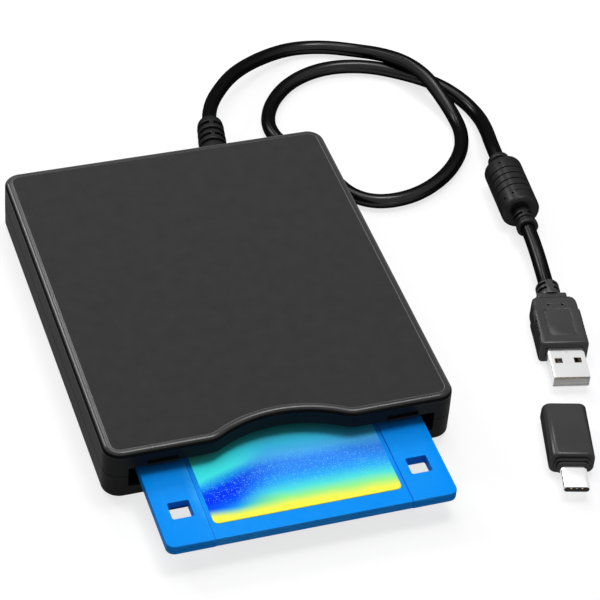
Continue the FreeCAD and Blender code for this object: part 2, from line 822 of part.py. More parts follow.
def addDiskShells():
    lower = diskShell("disk_lower_shell", ("diskLow", diskMid))
    upper = diskShell("disk_upper_shell", (diskMid, diskTop))
    chamberLow = "(diskLow + chamberLow)"
    chamberHigh = "(diskLow + chamberHigh)"
    recessX = ("shutterShift - shutterWidth / 2 - shutterTravel - partGap",
               "shutterShift + shutterWidth / 2 + partGap")
    recessY = (diskRearY + " - shutterLength - partGap", diskRearY + " + 1")
    windowY = (hubY + " + windowNear", hubY + " + windowFar")
    pocketDiscs(lower, [("0", hubY)], "chamberRadius", (chamberLow, diskMid))
    pocketDiscs(lower, [("0", hubY)], "hubOpening", ("diskLow", chamberLow))
    pocketBlock(lower, span("0", "windowWidth"), windowY, ("diskLow", chamberLow))
    pocketBlock(lower, recessX, recessY, ("diskLow", "diskLow + shutterRecess"))
    for body, zs in ((lower, ("diskLow", diskMid)), (upper, (diskMid, diskTop))):
        for side in (-1, 1):
            xs, ys = cornerHoleSpans(side)
            pocketBlock(body, xs, ys, zs)
        pocketBlock(body, recessX, (diskRearY + " - shutterRecess", diskRearY + " + 1"), zs)
    tabX, tabY = cornerHoleSpans(-1)
    pocketBlock(lower, tabX, (tabY[1] + " - 0.5", tabY[1] + " + tabLength + partGap"),
                ("diskLow", "diskLow + tabThick + 0.2"))
    pocketDiscs(upper, [("0", hubY)], "chamberRadius", (diskMid, chamberHigh))
    pocketBlock(upper, span("0", "windowWidth"), windowY, (chamberHigh, diskTop))
    pocketBlock(upper, recessX, recessY, (diskTop + " - shutterRecess", diskTop))
    pocketBlock(upper, span("0", "labelPocketWidth"),
                ("diskFrontY - 1", "diskFrontY + labelInset + fitGap + " + labelLength),
                (diskTop + " - labelRecess", diskTop))
    pocketBlock(upper, span("0", "labelPocketWidth"), ("diskFrontY - 1", "diskFrontY + labelRecess"),
                (diskMid, diskTop))
    pocketBlock(lower, span("0", "labelPocketWidth"), ("diskFrontY - 1", "diskFrontY + labelRecess"),
                ("diskLow + 0.4", diskMid))
    label = newBody("disk_label")
    padBlock(label, span("0", "labelWidth"),
             ("diskFrontY + labelInset", "diskFrontY + labelInset + " + labelLength),
             (diskTop + " - labelRecess", diskTop + " - labelRecess + labelThick"))
    roundEdges(label, "diskCorner - 1", upright)


def addDiskInside():
    chamberLow = "(diskLow + chamberLow)"
    chamberHigh = "(diskLow + chamberHigh)"
    windowY = (hubY + " + windowNear", hubY + " + chamberRadius")
    for label, low in (("lower_liner", chamberLow), ("upper_liner", chamberHigh + " - linerThick")):
        disc = ring("0", hubY, low, "chamberRadius - partGap", "hubFlange + partGap", "linerThick")
        piece(label, cut(disc, block(span("0", "windowWidth"), windowY, (low, low + " + linerThick"))))
    hubLow = "(diskLow + hubLift)"
    piece("magnetic_disk", ring("0", hubY, diskMid, "mediaRadius", "mediaInner", "mediaThick"))
    plate = rod("0", hubY, hubLow, "hubRadius", "hubSheet")
    neck = ring("0", hubY, hubLow, "hubNeck", "hubNeck - hubSheet", diskMid + " - " + hubLow)
    flange = ring("0", hubY, diskMid + " - hubSheet", "hubFlange", "hubNeck - hubSheet", "hubSheet")
    through = ("diskLow", hubLow + " + 2 * hubSheet")
    square = block(span("0", "hubSquare"), span(hubY, "hubSquare"), through)
    drive = block(span("0", "hubDriveWidth"), span(hubY + " - hubDriveOrbit", "hubDriveDepth"), through)
    piece("disk_hub", cut(join(plate, neck, flange), square, drive))
    shutterX = span("shutterShift", "shutterWidth")
    shutterY = (diskRearY + " - shutterLength", diskRearY)
    low, high = "(diskLow + runningGap)", "(%s - runningGap)" % diskTop
    under = block(shutterX, shutterY, (low, low + " + shutterSheet"))
    over = block(shutterX, shutterY, (high + " - shutterSheet", high))
    end = block(shutterX, (diskRearY + " - shutterSheet", diskRearY), (low, high))
    view = block(span("shutterTravel", "windowWidth"), (hubY + " + windowNear", hubY + " + windowFar"),
                 ("diskLow - 1", diskTop + " + 1"))
    piece("disk_shutter", cut(join(under, over, end), view))
    tabX, tabY = cornerHoleSpans(-1)
    plateLow = "(diskLow + hubLift)"
    plate = block(("%s + partGap" % tabX[0], "%s - partGap" % tabX[1]),
                  ("%s + partGap / 2" % tabY[1], "%s + tabLength" % tabY[1]),
                  (plateLow, plateLow + " + tabThick"))
    grip = block(("%s + tabGripInset" % tabX[0], "%s - tabGripInset" % tabX[1]),
                 ("%s + tabLength / 2" % tabY[1], "%s + tabLength / 2 + tabGripDepth" % tabY[1]),
                 ("diskLow", plateLow + " + tabThick / 2"))
    piece("write_protect_tab", join(plate, grip))


# ---- Holder and eject slide ------------------------------------------------------------


def addHolder():
    body = newBody("disk_holder")
    rear = diskRearY + " + insertTravel"
    padBlock(body, ("-" + holderOuter, holderOuter), ("holderFrontY", rear),
             (holderTop, holderTop + " + holderSheet"))
    for side in (-1, 1):
        wall = span("%d * (%s - holderSheet / 2)" % (side, holderOuter), "holderSheet")
        lip = span("%d * (%s - lipWidth / 2)" % (side, holderOuter), "lipWidth")
        padBlock(body, wall, ("holderFrontY", rear + " - 1"), (holderLow, holderTop + " + holderSheet / 2"))
        padBlock(body, lip, ("holderFrontY", rear + " - 1"), (holderLow, holderLow + " + holderSheet"))
    plate = (holderTop, holderTop + " + holderSheet")
    pocketBlock(body, span("0", "armWayWidth"), (headY + " - headTravel - armWayMargin", rear + " + 1"),
                plate)
    pocketDiscs(body, [("0", "holderFrontY - holderScoopSet")], "holderScoopRadius", plate)
    pocketDiscs(body, [("%d * ribOffset" % side, "holderHoleY") for side in (-1, 1)], "holderHoleRadius",
                plate)
    pins = []
    for y in ("pinFrontY", "pinRearY"):
        for x in (holderOuter, "-%s + partGap" % chassisSide):
            pins.append(rod(x, y, "pinHeight", "pinRadius", chassisSide + " - partGap - " + holderOuter,
                            "X"))
    piece("holder_pins", group(*pins))


def rampSlot(y):
    """An inclined slot: the pin climbs by the lift while the slide moves by the press."""
    angle = "(atan(liftTravel / pressTravel))"
    half = "(pinRadius + partGap)"
    low = rod("-chassisWidth", y, "pinHeight", half, "2 * chassisWidth", "X")
    high = rod("-chassisWidth", y + " - pressTravel", "pinHeight + liftTravel", half, "2 * chassisWidth",
               "X")
    middle = doc.addObject("Part::Box", "Ramp")
    middle.Placement = Placement(Vector(), Rotation(Vector(1, 0, 0), -30))
    bind(middle, Length="2 * chassisWidth", Width="sqrt(pressTravel ^ 2 + liftTravel ^ 2)",
         Height="2 * " + half)
    middle.setExpression("Placement.Rotation.Angle", formula("-" + angle))
    place(middle, "-chassisWidth", "%s - pressTravel - %s * sin(%s)" % (y, half, angle),
          "pinHeight + liftTravel - %s * cos(%s)" % (half, angle))
    return join(low, high, middle)


def addSlider():
    cross = block(("-" + railOuter, railOuter), ("crossFrontY", "crossFrontY + crossDepth"),
                  ("crossHeight", "crossHeight + crossSheet"))
    rails = [block(xs, ("crossFrontY", "railRearY"),
                   ("crossHeight", "pinHeight + liftTravel + pinRadius + 1"))
             for xs in ((railInner, railOuter), ("-" + railOuter, "-" + railInner))]
    tabSpan = span("buttonX", "sliderTabWidth")
    stemEnd = "(%s + buttonStemReach)" % frontFace
    sheetSpan = ("crossHeight", "crossHeight + crossSheet")
    tab = block(tabSpan, (stemEnd + " - sliderTabGrip", "crossFrontY + 1"), sheetSpan)
    piece("eject_slider", cut(join(cross, tab, *rails), rampSlot("pinFrontY"), rampSlot("pinRearY")))
    cap = block(span("buttonX", "buttonWidth"),
                (frontFace + " - buttonProud", frontFace + " + buttonCapDepth"),
                ("buttonLow", "buttonLow + buttonHigh"))
    stem = block(span("buttonX", "buttonStemWidth"), (frontFace + " + buttonCapDepth / 2", stemEnd),
                 (chassisFloor + " + partGap", "slotLow"))
    seat = block(tabSpan, (stemEnd + " - sliderTabGrip", stemEnd + " + 1"), sheetSpan)
    piece("eject_button", cut(join(cap, stem), seat))


# ---- Spindle ---------------------------------------------------------------------------


def addSpindle():
    board = block(span("0", "statorWidth"), span(spindleY, "statorDepth"),
                  (chassisFloor, chassisFloor + " + statorBoard"))
    piece("stator_board", cut(board, rod("0", spindleY, "0", "bushRadius + runningGap", "caseHeight")))
    coils = []
    for step in range(9):
        turn = step * 40
        x = "coilCircle * cos(%d)" % turn
        y = spindleY + " + coilCircle * sin(%d)" % turn
        coils.append(ring(x, y, chassisFloor + " + statorBoard", "coilRadius", "coilCore", "coilHeight"))
    piece("stator_coils", group(*coils))
    bush = ring("0", spindleY, chassisLow, "bushRadius", "shaftRadius + runningGap",
                "rotorTop - rotorSheet - partGap - " + chassisLow)
    piece("spindle_bush", bush)
    can = rod("0", spindleY, "rotorLow", "rotorRadius", "rotorTop - rotorLow")
    inside = rod("0", spindleY, "rotorLow", "rotorRadius - rotorSheet", "rotorTop - rotorLow - rotorSheet")
    seat = rod("0", spindleY, "rotorTop - rotorSheet", "seatRadius",
               "spindleTop - rotorTop + rotorSheet - fitGap")
    piece("spindle_rotor",
          cut(join(cut(can, inside), seat), rod("0", spindleY, "0", "shaftRadius", "caseHeight")))
    piece("rotor_magnet", ring("0", spindleY, "rotorLow", "rotorRadius - rotorSheet",
                               "rotorRadius - rotorSheet - magnetWall", "magnetHeight"))
    piece("spindle_shaft", rod("0", spindleY, chassisLow, "shaftRadius", "spindleTop - " + chassisLow))
    piece("drive_pin", rod("0", spindleY + " - hubDriveOrbit", "rotorTop", "drivePinRadius",
                           "spindleTop - rotorTop"))


# ---- Head drive ------------------------------------------------------------------------


def addHeadDrive():
    flange = block(span("leadScrewX", "motorFlangeWidth"), ("motorFrontY", "motorFrontY + motorFlange"),
                   (chassisFloor, "driveAxisHeight + motorRadius"))
    can = rod("leadScrewX", "motorFrontY", "driveAxisHeight", "motorRadius", "motorLength", "Y")
    bore = rod("leadScrewX", "motorFrontY", "driveAxisHeight", "leadScrewRadius + partGap",
               "screwSeat + partGap", "Y")
    piece("stepper_motor", cut(join(flange, can), bore))
    bearingEnd = "(bracketY + bracketThick)"
    shaftEnd = "(motorFrontY + screwSeat)"
    core = rod("leadScrewX", bearingEnd + " + partGap", "driveAxisHeight", "leadScrewRadius - threadDepth",
               "%s - partGap - %s" % (shaftEnd, bearingEnd), "Y")
    tip = rod("leadScrewX", "bracketY + fitGap", "driveAxisHeight", "screwTipRadius",
              "screwLead + bracketThick", "Y")
    threads = []
    threadRun = size.motorFrontY - size.bracketY - size.bracketThick - size.screwLead
    for step in range(int(threadRun / size.screwLead * 2) + 1):
        start = bearingEnd + " + screwLead / 4 + screwLead / 2 * %d" % step
        threads.append(rod("leadScrewX", start, "driveAxisHeight", "leadScrewRadius", "screwLead / 5", "Y"))
    piece("lead_screw", join(core, tip, *threads))
    bearing = block(span("leadScrewX", "clipWidth"), ("bracketY", bearingEnd),
                    (chassisFloor, "driveAxisHeight + clipCap"))
    hole = rod("leadScrewX", "bracketY", "driveAxisHeight", "screwTipRadius + runningGap", "bracketThick",
               "Y")
    piece("screw_bearing", cut(bearing, hole))
    piece("guide_rod", rod("guideRodX", "bracketY", "driveAxisHeight", "guideRodRadius",
                           shaftEnd + " - bracketY", "Y"))
    clips = []
    for y in ("bracketY", "motorFrontY + clipInset"):
        clip = block(span("guideRodX", "clipWidth"), (y, y + " + bracketThick"),
                     (chassisFloor, "driveAxisHeight + clipCap"))
        clips.append(cut(clip,
                         rod("guideRodX", y, "driveAxisHeight", "guideRodRadius", "bracketThick", "Y")))
    piece("rod_clips", group(*clips))


def addCarriage():
    """The carriage with its nut and lower arm, and the sprung upper arm hinged to it."""
    armLow = "(%s + partGap)" % chassisFloor
    saddleTop = "(driveAxisHeight + 2 * guideRodRadius)"
    ends = ("carriageFrontY", "carriageRearY")
    sprungLow = "(diskLow + diskThick + liftTravel + partGap)"
    hingeY = "(carriageRearY - 2 * hingeRadius)"
    hingeZ = "(driveAxisHeight + hingeLift)"
    armFront = "(%s - headWidth / 2 - armLead)" % headY
    nutSize = "2 * (leadScrewRadius + nutWall)"
    saddle = block(("guideRodX - guideRodRadius - saddleWall",
                    "leadScrewX - leadScrewRadius - nutWall / 2"), ends,
                   (armLow, saddleTop))
    nut = block(span("leadScrewX", nutSize), ("carriageFrontY + nutInset", "carriageRearY"),
                span("driveAxisHeight", nutSize))
    arm = block(span("0", "armWidth"), (armFront, "carriageFrontY + 1"), (armLow, armLow + " + armThick"))
    ears = [block(span("%d * (armWidth / 2 + partGap + earWidth / 2)" % side, "earWidth"),
                  span(hingeY, "2 * hingeRadius"), (saddleTop + " - 1", hingeZ + " + hingeRadius"))
            for side in (-1, 1)]
    ways = []
    for x, radius in (("leadScrewX", "leadScrewRadius"), ("guideRodX", "guideRodRadius")):
        ways.append(rod(x, "carriageFrontY - 1", "driveAxisHeight", radius + " + runningGap",
                        "carriageRearY - carriageFrontY + 2", "Y"))
    pinHalf = "(armWidth / 2 + partGap + earWidth)"
    pinHole = rod("-" + pinHalf, hingeY, hingeZ, "hingePinRadius", "2 * " + pinHalf, "X")
    piece("head_carriage", cut(join(saddle, nut, arm, *ears), pinHole, *ways))
    piece("arm_pin", rod("-" + pinHalf, hingeY, hingeZ, "hingePinRadius", "2 * " + pinHalf, "X"))
    piece("lower_head", block(span("0", "headWidth"), span(headY, "headWidth"),
                              (armLow + " + armThick", armLow + " + armThick + headHeight")))
    reach = block(span("0", "armWidth"), (armFront, hingeY), (sprungLow, sprungLow + " + armThick"))
    knuckle = rod("-armWidth / 2", hingeY, hingeZ, "hingeRadius", "armWidth", "X")
    bore = rod("-armWidth", hingeY, hingeZ, "hingePinRadius + runningGap", "2 * armWidth", "X")
    piece("upper_head_arm", cut(join(reach, knuckle), bore))
    piece("upper_head", block(span("0", "headWidth"), span(headY, "headWidth"),
                              (diskTop + " + partGap", sprungLow)))


# ---- Boards ----------------------------------------------------------------------------


def addBoards():
    board = newBody("main_board")
    padBlock(board, ("boardLeftX", "boardRightX"), (boardFront, "boardRearY"), (boardLow, boardTop))
    roundEdges(board, "boardCorner", upright)
    posts = []
    for x in ("boardLeftX + postInset", "boardRightX - postInset"):
        for y in (boardFront + " + postInset", "boardRearY - postInset"):
            posts.append(rod(x, y, chassisFloor, "postRadius", "boardLift"))
    piece("board_posts", group(*posts))
    chipRight = "(boardRightX - chipFromRight)"
    chipFront = boardFront + " + chipFromFront"
    piece("drive_chip", block((chipRight + " - chipSide", chipRight),
                              (chipFront, chipFront + " + chipSide"),
                              (boardTop, boardTop + " + chipHeight")))
    chipRight = "(boardRightX - bridgeFromRight)"
    chipFront = boardFront + " + bridgeFromFront"
    piece("bridge_chip", block((chipRight + " - bridgeSide", chipRight),
                               (chipFront, chipFront + " + bridgeSide"),
                               (boardTop, boardTop + " + chipHeight")))
    small = [rod("boardLeftX + canFromLeft + canPitch * %d" % step, boardFront + " + canFromFront", boardTop,
                 "canRadius", "canHeight") for step in range(2)]
    small.append(block(span("boardLeftX + canFromLeft + canPitch / 2", "crystalWidth"),
                       span(boardFront + " + 2 * canFromFront", "crystalDepth"),
                       (boardTop, boardTop + " + crystalHeight")))
    piece("board_parts", group(*small))
    headerLeft = "(boardLeftX + headerInset)"
    headerRear = "(boardRearY - headerInset)"
    piece("cord_connector",
          block((headerLeft, headerLeft + " + headerWidth"), (headerRear + " - headerDepth", headerRear),
                                  (boardTop, boardTop + " + headerHeight")))
    switches, plungers = [], []
    sensorY = "(diskFrontY + cornerHoleY + insertTravel)"
    for side in (-1, 1):
        x = "%d * cornerHoleX" % side
        switches.append(block(span(x, "switchSide"), span(sensorY, "switchSide"),
                              (chassisFloor, "switchTop")))
        plungers.append(rod(x, sensorY, "switchTop", "plungerRadius", "spindleTop - switchTop"))
    piece("sensor_switches", group(*switches))
    piece("switch_plungers", group(*plungers))


# ---- Cord ------------------------------------------------------------------------------


def alongYaw(x, y, z, yaw, distance):
    """A point at a distance along a heading, measured from +Y towards +X."""
    return Vector(x + distance * sin(radians(yaw)), y + distance * cos(radians(yaw)), z)


def arcPath(points):
    """Straight runs joined by tangent arcs, each as large as its two runs allow."""
    edges, radii = [], []
    start = points[0]
    for before, corner, after in zip(points, points[1:], points[2:]):
        inward = (corner - before).normalize()
        outward = (after - corner).normalize()
        turn = inward.getAngle(outward)
        reach = 0.45 * min((corner - before).Length, (after - corner).Length)
        radius = reach / tan(turn / 2)
        radii.append(round(radius, 1))
        first = corner - inward * reach
        last = corner + outward * reach
        centre = (first + last) * 0.5 - corner
        middle = corner + centre.normalize() * (sqrt(radius**2 + reach**2) - radius)
        edges.append(Part.LineSegment(start, first).toShape())
        edges.append(Part.Arc(first, middle, last).toShape())
        start = last
    edges.append(Part.LineSegment(start, points[-1]).toShape())
    return Part.Wire(edges), radii


def addCordTube(label, points, bore=0.0):
    path, radii = arcPath(points)
    heading = (points[1] - points[0]).normalize()
    section = Part.Wire(Part.Circle(points[0], heading, size.cordDiameter / 2).toShape())
    tube = path.makePipeShell([section], True, False)
    ideal = pi * size.cordDiameter**2 / 4 * path.Length
    print(label, "length", round(path.Length, 1), "volume ratio", round(tube.Volume / ideal, 4), "radii",
          radii)
    item = doc.addObject("Part::Feature", "Cord")
    item.Shape = tube
    return piece(label, item)


def reliefTip():
    return alongYaw(size.reliefX, size.caseLength / 2, size.partingHeight, size.reliefYaw,
                    size.reliefLength)


def ferriteEnd(side):
    """The cord's end in the ferrite's boot, at the house side (1) or the plug side (-1)."""
    boot = size.ferriteCollar if side > 0 else size.ferriteBoot - size.cordSeat
    reach = side * (size.ferriteLength / 2 + boot)
    return alongYaw(size.ferriteX, size.ferriteY, size.ferriteRadius, size.ferriteYaw, reach)


def addCords():
    exitPoint = reliefTip()
    start = [exitPoint, alongYaw(exitPoint.x, exitPoint.y, exitPoint.z, size.reliefYaw, 8.0)]
    rear = ferriteEnd(1)
    finish = [alongYaw(rear.x, rear.y, rear.z, size.ferriteYaw, 8.6), rear]
    addCordTube("cord_to_ferrite", start + [Vector(*point) for point in CORD_TO_FERRITE] + finish)
    front = ferriteEnd(-1)
    plug = alongYaw(size.plugX, size.plugY, size.plugAxisHeight, size.plugYaw, -size.cordSeat)
    lead = [front, alongYaw(front.x, front.y, front.z, size.ferriteYaw, -8.0)]
    tail = [alongYaw(plug.x, plug.y, plug.z, size.plugYaw, 8.0), plug]
    addCordTube("cord_to_plug", lead + tail)


def turned(item, x, y, z, yaw):
    """Stand a piece that was built along +Y at a place and heading."""
    item.Placement = Placement(Vector(), Rotation(Vector(0, 0, 1), -10))
    item.setExpression("Placement.Rotation.Angle", formula("-(%s)" % yaw))
    place(item, x, y, z)
    return item


def addRelief():
    """Strain relief: a seat in the rear wall and a ribbed sleeve that leans with the cord."""
    inner = rearFace + " - shellWall - fitGap - reliefFlange"
    flange = rod("reliefX", inner, "partingHeight", "reliefRadius", "reliefFlange", "Y")
    neck = rod("reliefX", inner, "partingHeight", "reliefNeck", "shellWall + 2 * fitGap + 2 * reliefFlange",
               "Y")
    collar = rod("reliefX", rearFace + " + fitGap", "partingHeight", "reliefRadius", "reliefCollar", "Y")
    sleeve = doc.addObject("Part::Cone", "Sleeve")
    sleeve.Placement = Placement(Vector(), Rotation(Vector(1, 0, 0), -90))
    bind(sleeve, Radius1="reliefRadius", Radius2="reliefTipRadius", Height="reliefLength")
    grooves = []
    for step in range(5):
        start = "(reliefGrooveStart + reliefGroovePitch * %d)" % step
        across = "(2 * reliefRadius + 2)"
        groove = ring("0", start, "0", "reliefRadius + 1", "reliefTipRadius - 1", "reliefGroove", "Y")
        if step % 2:
            grooves.append(groove)
        else:
            bridge = block(span("0", across), (start, start + " + reliefGroove"), span("0", "reliefBridge"))
            grooves.append(cut(groove, bridge))
    sleeve = turned(group(cut(sleeve, *grooves)), "reliefX", rearFace, "partingHeight", "reliefYaw")
    house = block(span("reliefX", "4 * reliefRadius"),
                  (rearFace + " - 2 * reliefRadius", rearFace + " + fitGap"),
                  span("partingHeight", "4 * reliefRadius"))
    piece("strain_relief", join(flange, neck, collar, cut(sleeve, house)))


def soften(item, radius, wanted):
    """Fillet the edges of a Part shape that the test picks."""
    doc.recompute()
    picked = [i + 1 for i, edge in enumerate(item.Shape.Edges) if wanted(edge)]
    if not picked:
        raise RuntimeError("no edge to round")
    fillet = doc.addObject("Part::Fillet", "Fillet")
    fillet.Base = item
    fillet.Edges = [(i, radius, radius) for i in picked]
    return fillet


def addFerrite():
    """A ferrite sleeve in a ribbed moulding, built along Y about its middle, then turned."""
    half = "(ferriteLength / 2)"
    seat = ("ferriteX", "ferriteY", "ferriteRadius", "ferriteYaw")
    drum = rod("0", "-" + half, "0", "ferriteRadius", "ferriteLength", "Y")
    drum = soften(drum, size.ferriteRound, lambda edge: edge.BoundBox.YLength < 1e-3)
    neck = rod("0", "-%s - ferriteBoot" % half, "0", "ferriteNeck",
               "ferriteLength + ferriteBoot + ferriteCollar", "Y")
    rings = [rod("0", start, "0", "ferriteCollarRadius", "ferriteRing", "Y")
             for start in ("-%s - ferriteBoot" % half, half + " + ferriteCollar - ferriteRing")]
    seatEnd = "-%s - ferriteBoot" % half
    bore = rod("0", seatEnd + " - 1", "0", "cordDiameter / 2 + fitGap / 4", "cordSeat + 1", "Y")
    inside = rod("0", "-ferriteCoreLength / 2", "0", "ferriteCoreRadius", "ferriteCoreLength", "Y")
    grooves = []
    for step in range(5):
        start = "ferriteGroovePitch * %d + ferriteGrooveShift - ferriteGroove / 2" % (step - 2)
        grooves.append(ring("0", start, "0", "ferriteRadius + 1", "ferriteRadius - ferriteGrooveDepth",
                            "ferriteGroove", "Y"))
    cover = cut(join(drum, neck, *rings), inside, bore, *grooves)
    piece("ferrite_cover", turned(group(cover), *seat))
    core = ring("0", "-ferriteCoreLength / 2", "0", "ferriteCoreRadius", "cordDiameter / 2 + 0.2",
                "ferriteCoreLength", "Y")
    piece("ferrite_core", turned(group(core), *seat))


# ---- Plug and adapter ------------------------------------------------------------------


def alongBar(edge):
    box = edge.BoundBox
    return box.YLength > 1 and box.DiagonalLength < box.YLength + 1e-3


def roundedBar(xs, ys, zs, radius):
    """A bar along Y with its long edges rounded."""
    body = doc.addObject("PartDesign::Body", "Bar")
    padBlock(body, xs, ys, zs)
    roundEdges(body, radius, alongBar)
    return body


def tube(xs, ys, zs, wall):
    outer = block(xs, ys, zs)
    inner = block(("%s + %s" % (xs[0], wall), "%s - %s" % (xs[1], wall)),
                  ("%s - 1" % ys[0], "%s + 1" % ys[1]),
                  ("%s + %s" % (zs[0], wall), "%s - %s" % (zs[1], wall)))
    return cut(outer, inner)


def addPlug():
    """Everything is built pointing along -Y from the rear of the barrel, then turned."""
    seat = ("plugX", "plugY", "plugAxisHeight", "plugYaw")
    bodyRear = "(-plugBarrel - plugCollar)"
    bodyFront = "(-plugBarrel - plugCollar - plugBodyLength)"
    tip = "(-plugBarrel - plugCollar - plugBodyLength - shellLength)"
    barrel = rod("0", "-plugBarrel - 1", "0", "plugBarrelRadius", "plugBarrel + 1", "Y")
    collar = block(span("0", "plugCollarWidth"), (bodyRear + " - 1", "-plugBarrel"),
                   span("0", "plugCollarThick"))
    body = roundedBar(span("0", "plugBodyWidth"), (bodyFront, bodyRear), span("0", "plugBodyThick"),
                      "plugRound")
    shoulderLine = -size.plugBarrel - size.plugCollar - 0.1
    roundEdges(body, "plugCorner", lambda edge: upright(edge) and edge.BoundBox.YMin > shoulderLine)
    ribs = []
    for side in (-1, 1):
        for step in range(5):
            y = bodyRear + " - gripFromRear - gripPitch * %d" % step
            ribs.append(block(span("%d * plugBodyWidth / 2" % side, "2 * gripDepth"), (y + " - gripRib", y),
                              span("0", "plugBodyThick + 1")))
    grooves = []
    for step in range(2):
        start = "(-barrelGroovePitch * %d - 2 * barrelGroove)" % (step + 0.1)
        groove = ring("0", start, "0", "plugBarrelRadius + 1", "plugBarrelRadius - 1", "barrelGroove", "Y")
        bridge = block(span("0", "2 * plugBarrelRadius + 2"), (start, start + " + barrelGroove"),
                       span("0", "barrelBridge"))
        grooves.append(cut(groove, bridge))
    shellX, shellZ = span("0", "shellWidth"), span("0", "shellHeight")
    shellRear = bodyFront + " + shellRoot"
    way = block(shellX, (bodyFront + " - 1", shellRear), shellZ)
    bore = rod("0", "-cordSeat", "0", "cordDiameter / 2 + fitGap / 4", "cordSeat + 1", "Y")
    piece("plug_grip", turned(group(cut(join(barrel, collar, body), way, bore, *ribs, *grooves)), *seat))
    shell = tube(shellX, (tip, shellRear), shellZ, "shellSheet")
    windows = block(span("shellWindowX", "shellWindow"), span(bodyFront + " - shellWindowY", "shellWindow"),
                    span("0", "shellHeight + 1"))
    mirrored = block(span("-shellWindowX", "shellWindow"),
                     span(bodyFront + " - shellWindowY", "shellWindow"),
                     span("0", "shellHeight + 1"))
    piece("plug_shell", turned(group(cut(shell, windows, mirrored)), *seat))
    low = "(-shellHeight / 2 + shellSheet)"
    tongueFront = tip + " + tongueShort"
    contactZ = (low + " + tongueThick", low + " + tongueThick + contactThick")
    plate = block(span("0", "(shellWidth - 2 * shellSheet)"), (tongueFront, shellRear),
                  (low, low + " + tongueThick"))
    piece("plug_tongue", turned(group(plate), *seat))
    contacts = [block(span(x, "contactWidth"), (tongueFront + " + contactSetback", shellRear), contactZ)
                for x in ("-contactOuter", "-contactInner", "contactInner", "contactOuter")]
    piece("plug_contacts", turned(group(*contacts), *seat))


def addAdapter():
    """Built pointing along -Y from its socket end, then turned."""
    seat = ("adapterX", "adapterY", "adapterThick / 2", "adapterYaw")
    front = "(-adapterLength)"
    stepEnd = "(-adapterLength - adapterStep)"
    tip = "(-adapterLength - adapterStep - tipLength)"
    tipRear = stepEnd + " + tipRoot"
    socketX, socketZ = span("0", "socketWidth"), span("0", "socketHeight")
    body = roundedBar(span("0", "adapterWidth"), (front, "0"), span("0", "adapterThick"), "adapterCorner")
    step = block(span("0", "adapterStepWidth"), (stepEnd, front + " + 1"), span("0", "adapterStepThick"))
    socket = block(socketX, ("-socketDepth", "1"), socketZ)
    tipShell = roundedBar(span("0", "tipWidth"), (tip, tipRear), span("0", "tipHeight"),
                          "tipHeight / 2 - fitGap / 5")
    piece("adapter_housing", turned(group(cut(join(body, step), socket, tipShell)), *seat))
    liner = tube(socketX, ("-socketDepth", "0"), socketZ, "shellSheet")
    back = block(socketX, ("-socketDepth", "-socketDepth + shellSheet"), socketZ)
    piece("adapter_socket", turned(group(join(liner, back)), *seat))
    low = "(-shellHeight / 2 + shellSheet)"
    tongue = block(span("0", "socketTongueWidth"), ("-socketDepth + shellSheet", "-socketTongueShort"),
                   (low, low + " + socketTongueThick"))
    piece("adapter_tongue", turned(group(tongue), *seat))
    hollow = block(span("0", "tipWidth - tipHeight + tipSheet"), (tip + " - 1", stepEnd),
                   span("0", "tipHeight - 2 * tipSheet"))
    piece("adapter_tip", turned(group(cut(tipShell, hollow)), *seat))


# ---- Build -----------------------------------------------------------------------------


def replaceWith(label, maker):
    """Cut a finished body further with Part tools and pass its name on."""
    base = [item for item in pieces if item.Label == label][0]
    pieces.remove(base)
    base.Label = label + "_blank"
    return piece(label, maker(base))


addTopCover()
addBottomCover()
replaceWith("top_cover", lambda base: cut(base, reliefNeckTool()))
replaceWith("bottom_cover", lambda base: cut(base, reliefNeckTool(), lightPipeTool()))
addCaseTrim()
addChassis()
addShield()
addDiskShells()
addDiskInside()
addHolder()
addSlider()
addSpindle()
addHeadDrive()
addCarriage()
addBoards()
addRelief()
addFerrite()
addPlug()
addAdapter()
addCords()
doc.recompute()

faults = [item.Label for item in doc.Objects if "Invalid" in item.State or "Error" in item.State]
for item in pieces:
    if item.Shape.isNull() or not item.Shape.isValid() or not item.Shape.Solids:
        faults.append(item.Label)
if faults:
    raise RuntimeError("failed: " + ", ".join(faults))

os.makedirs("parts", exist_ok=True)
for item in pieces:
    item.Shape.exportStep("parts/%s.step" % item.Label)
    box = item.Shape.BoundBox
    print("%-20s solids %2d  x %7.2f %7.2f  y %7.2f %7.2f  z %6.2f %6.2f" % (
        item.Label, len(item.Shape.Solids), box.XMin, box.XMax, box.YMin, box.YMax, box.ZMin, box.ZMax))
print(len(pieces), "sub-parts")
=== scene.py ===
import json
from functools import partial
from math import atan2, cos, pi, radians, sin, sqrt

import bmesh
import bpy
from mathutils import Matrix, Vector


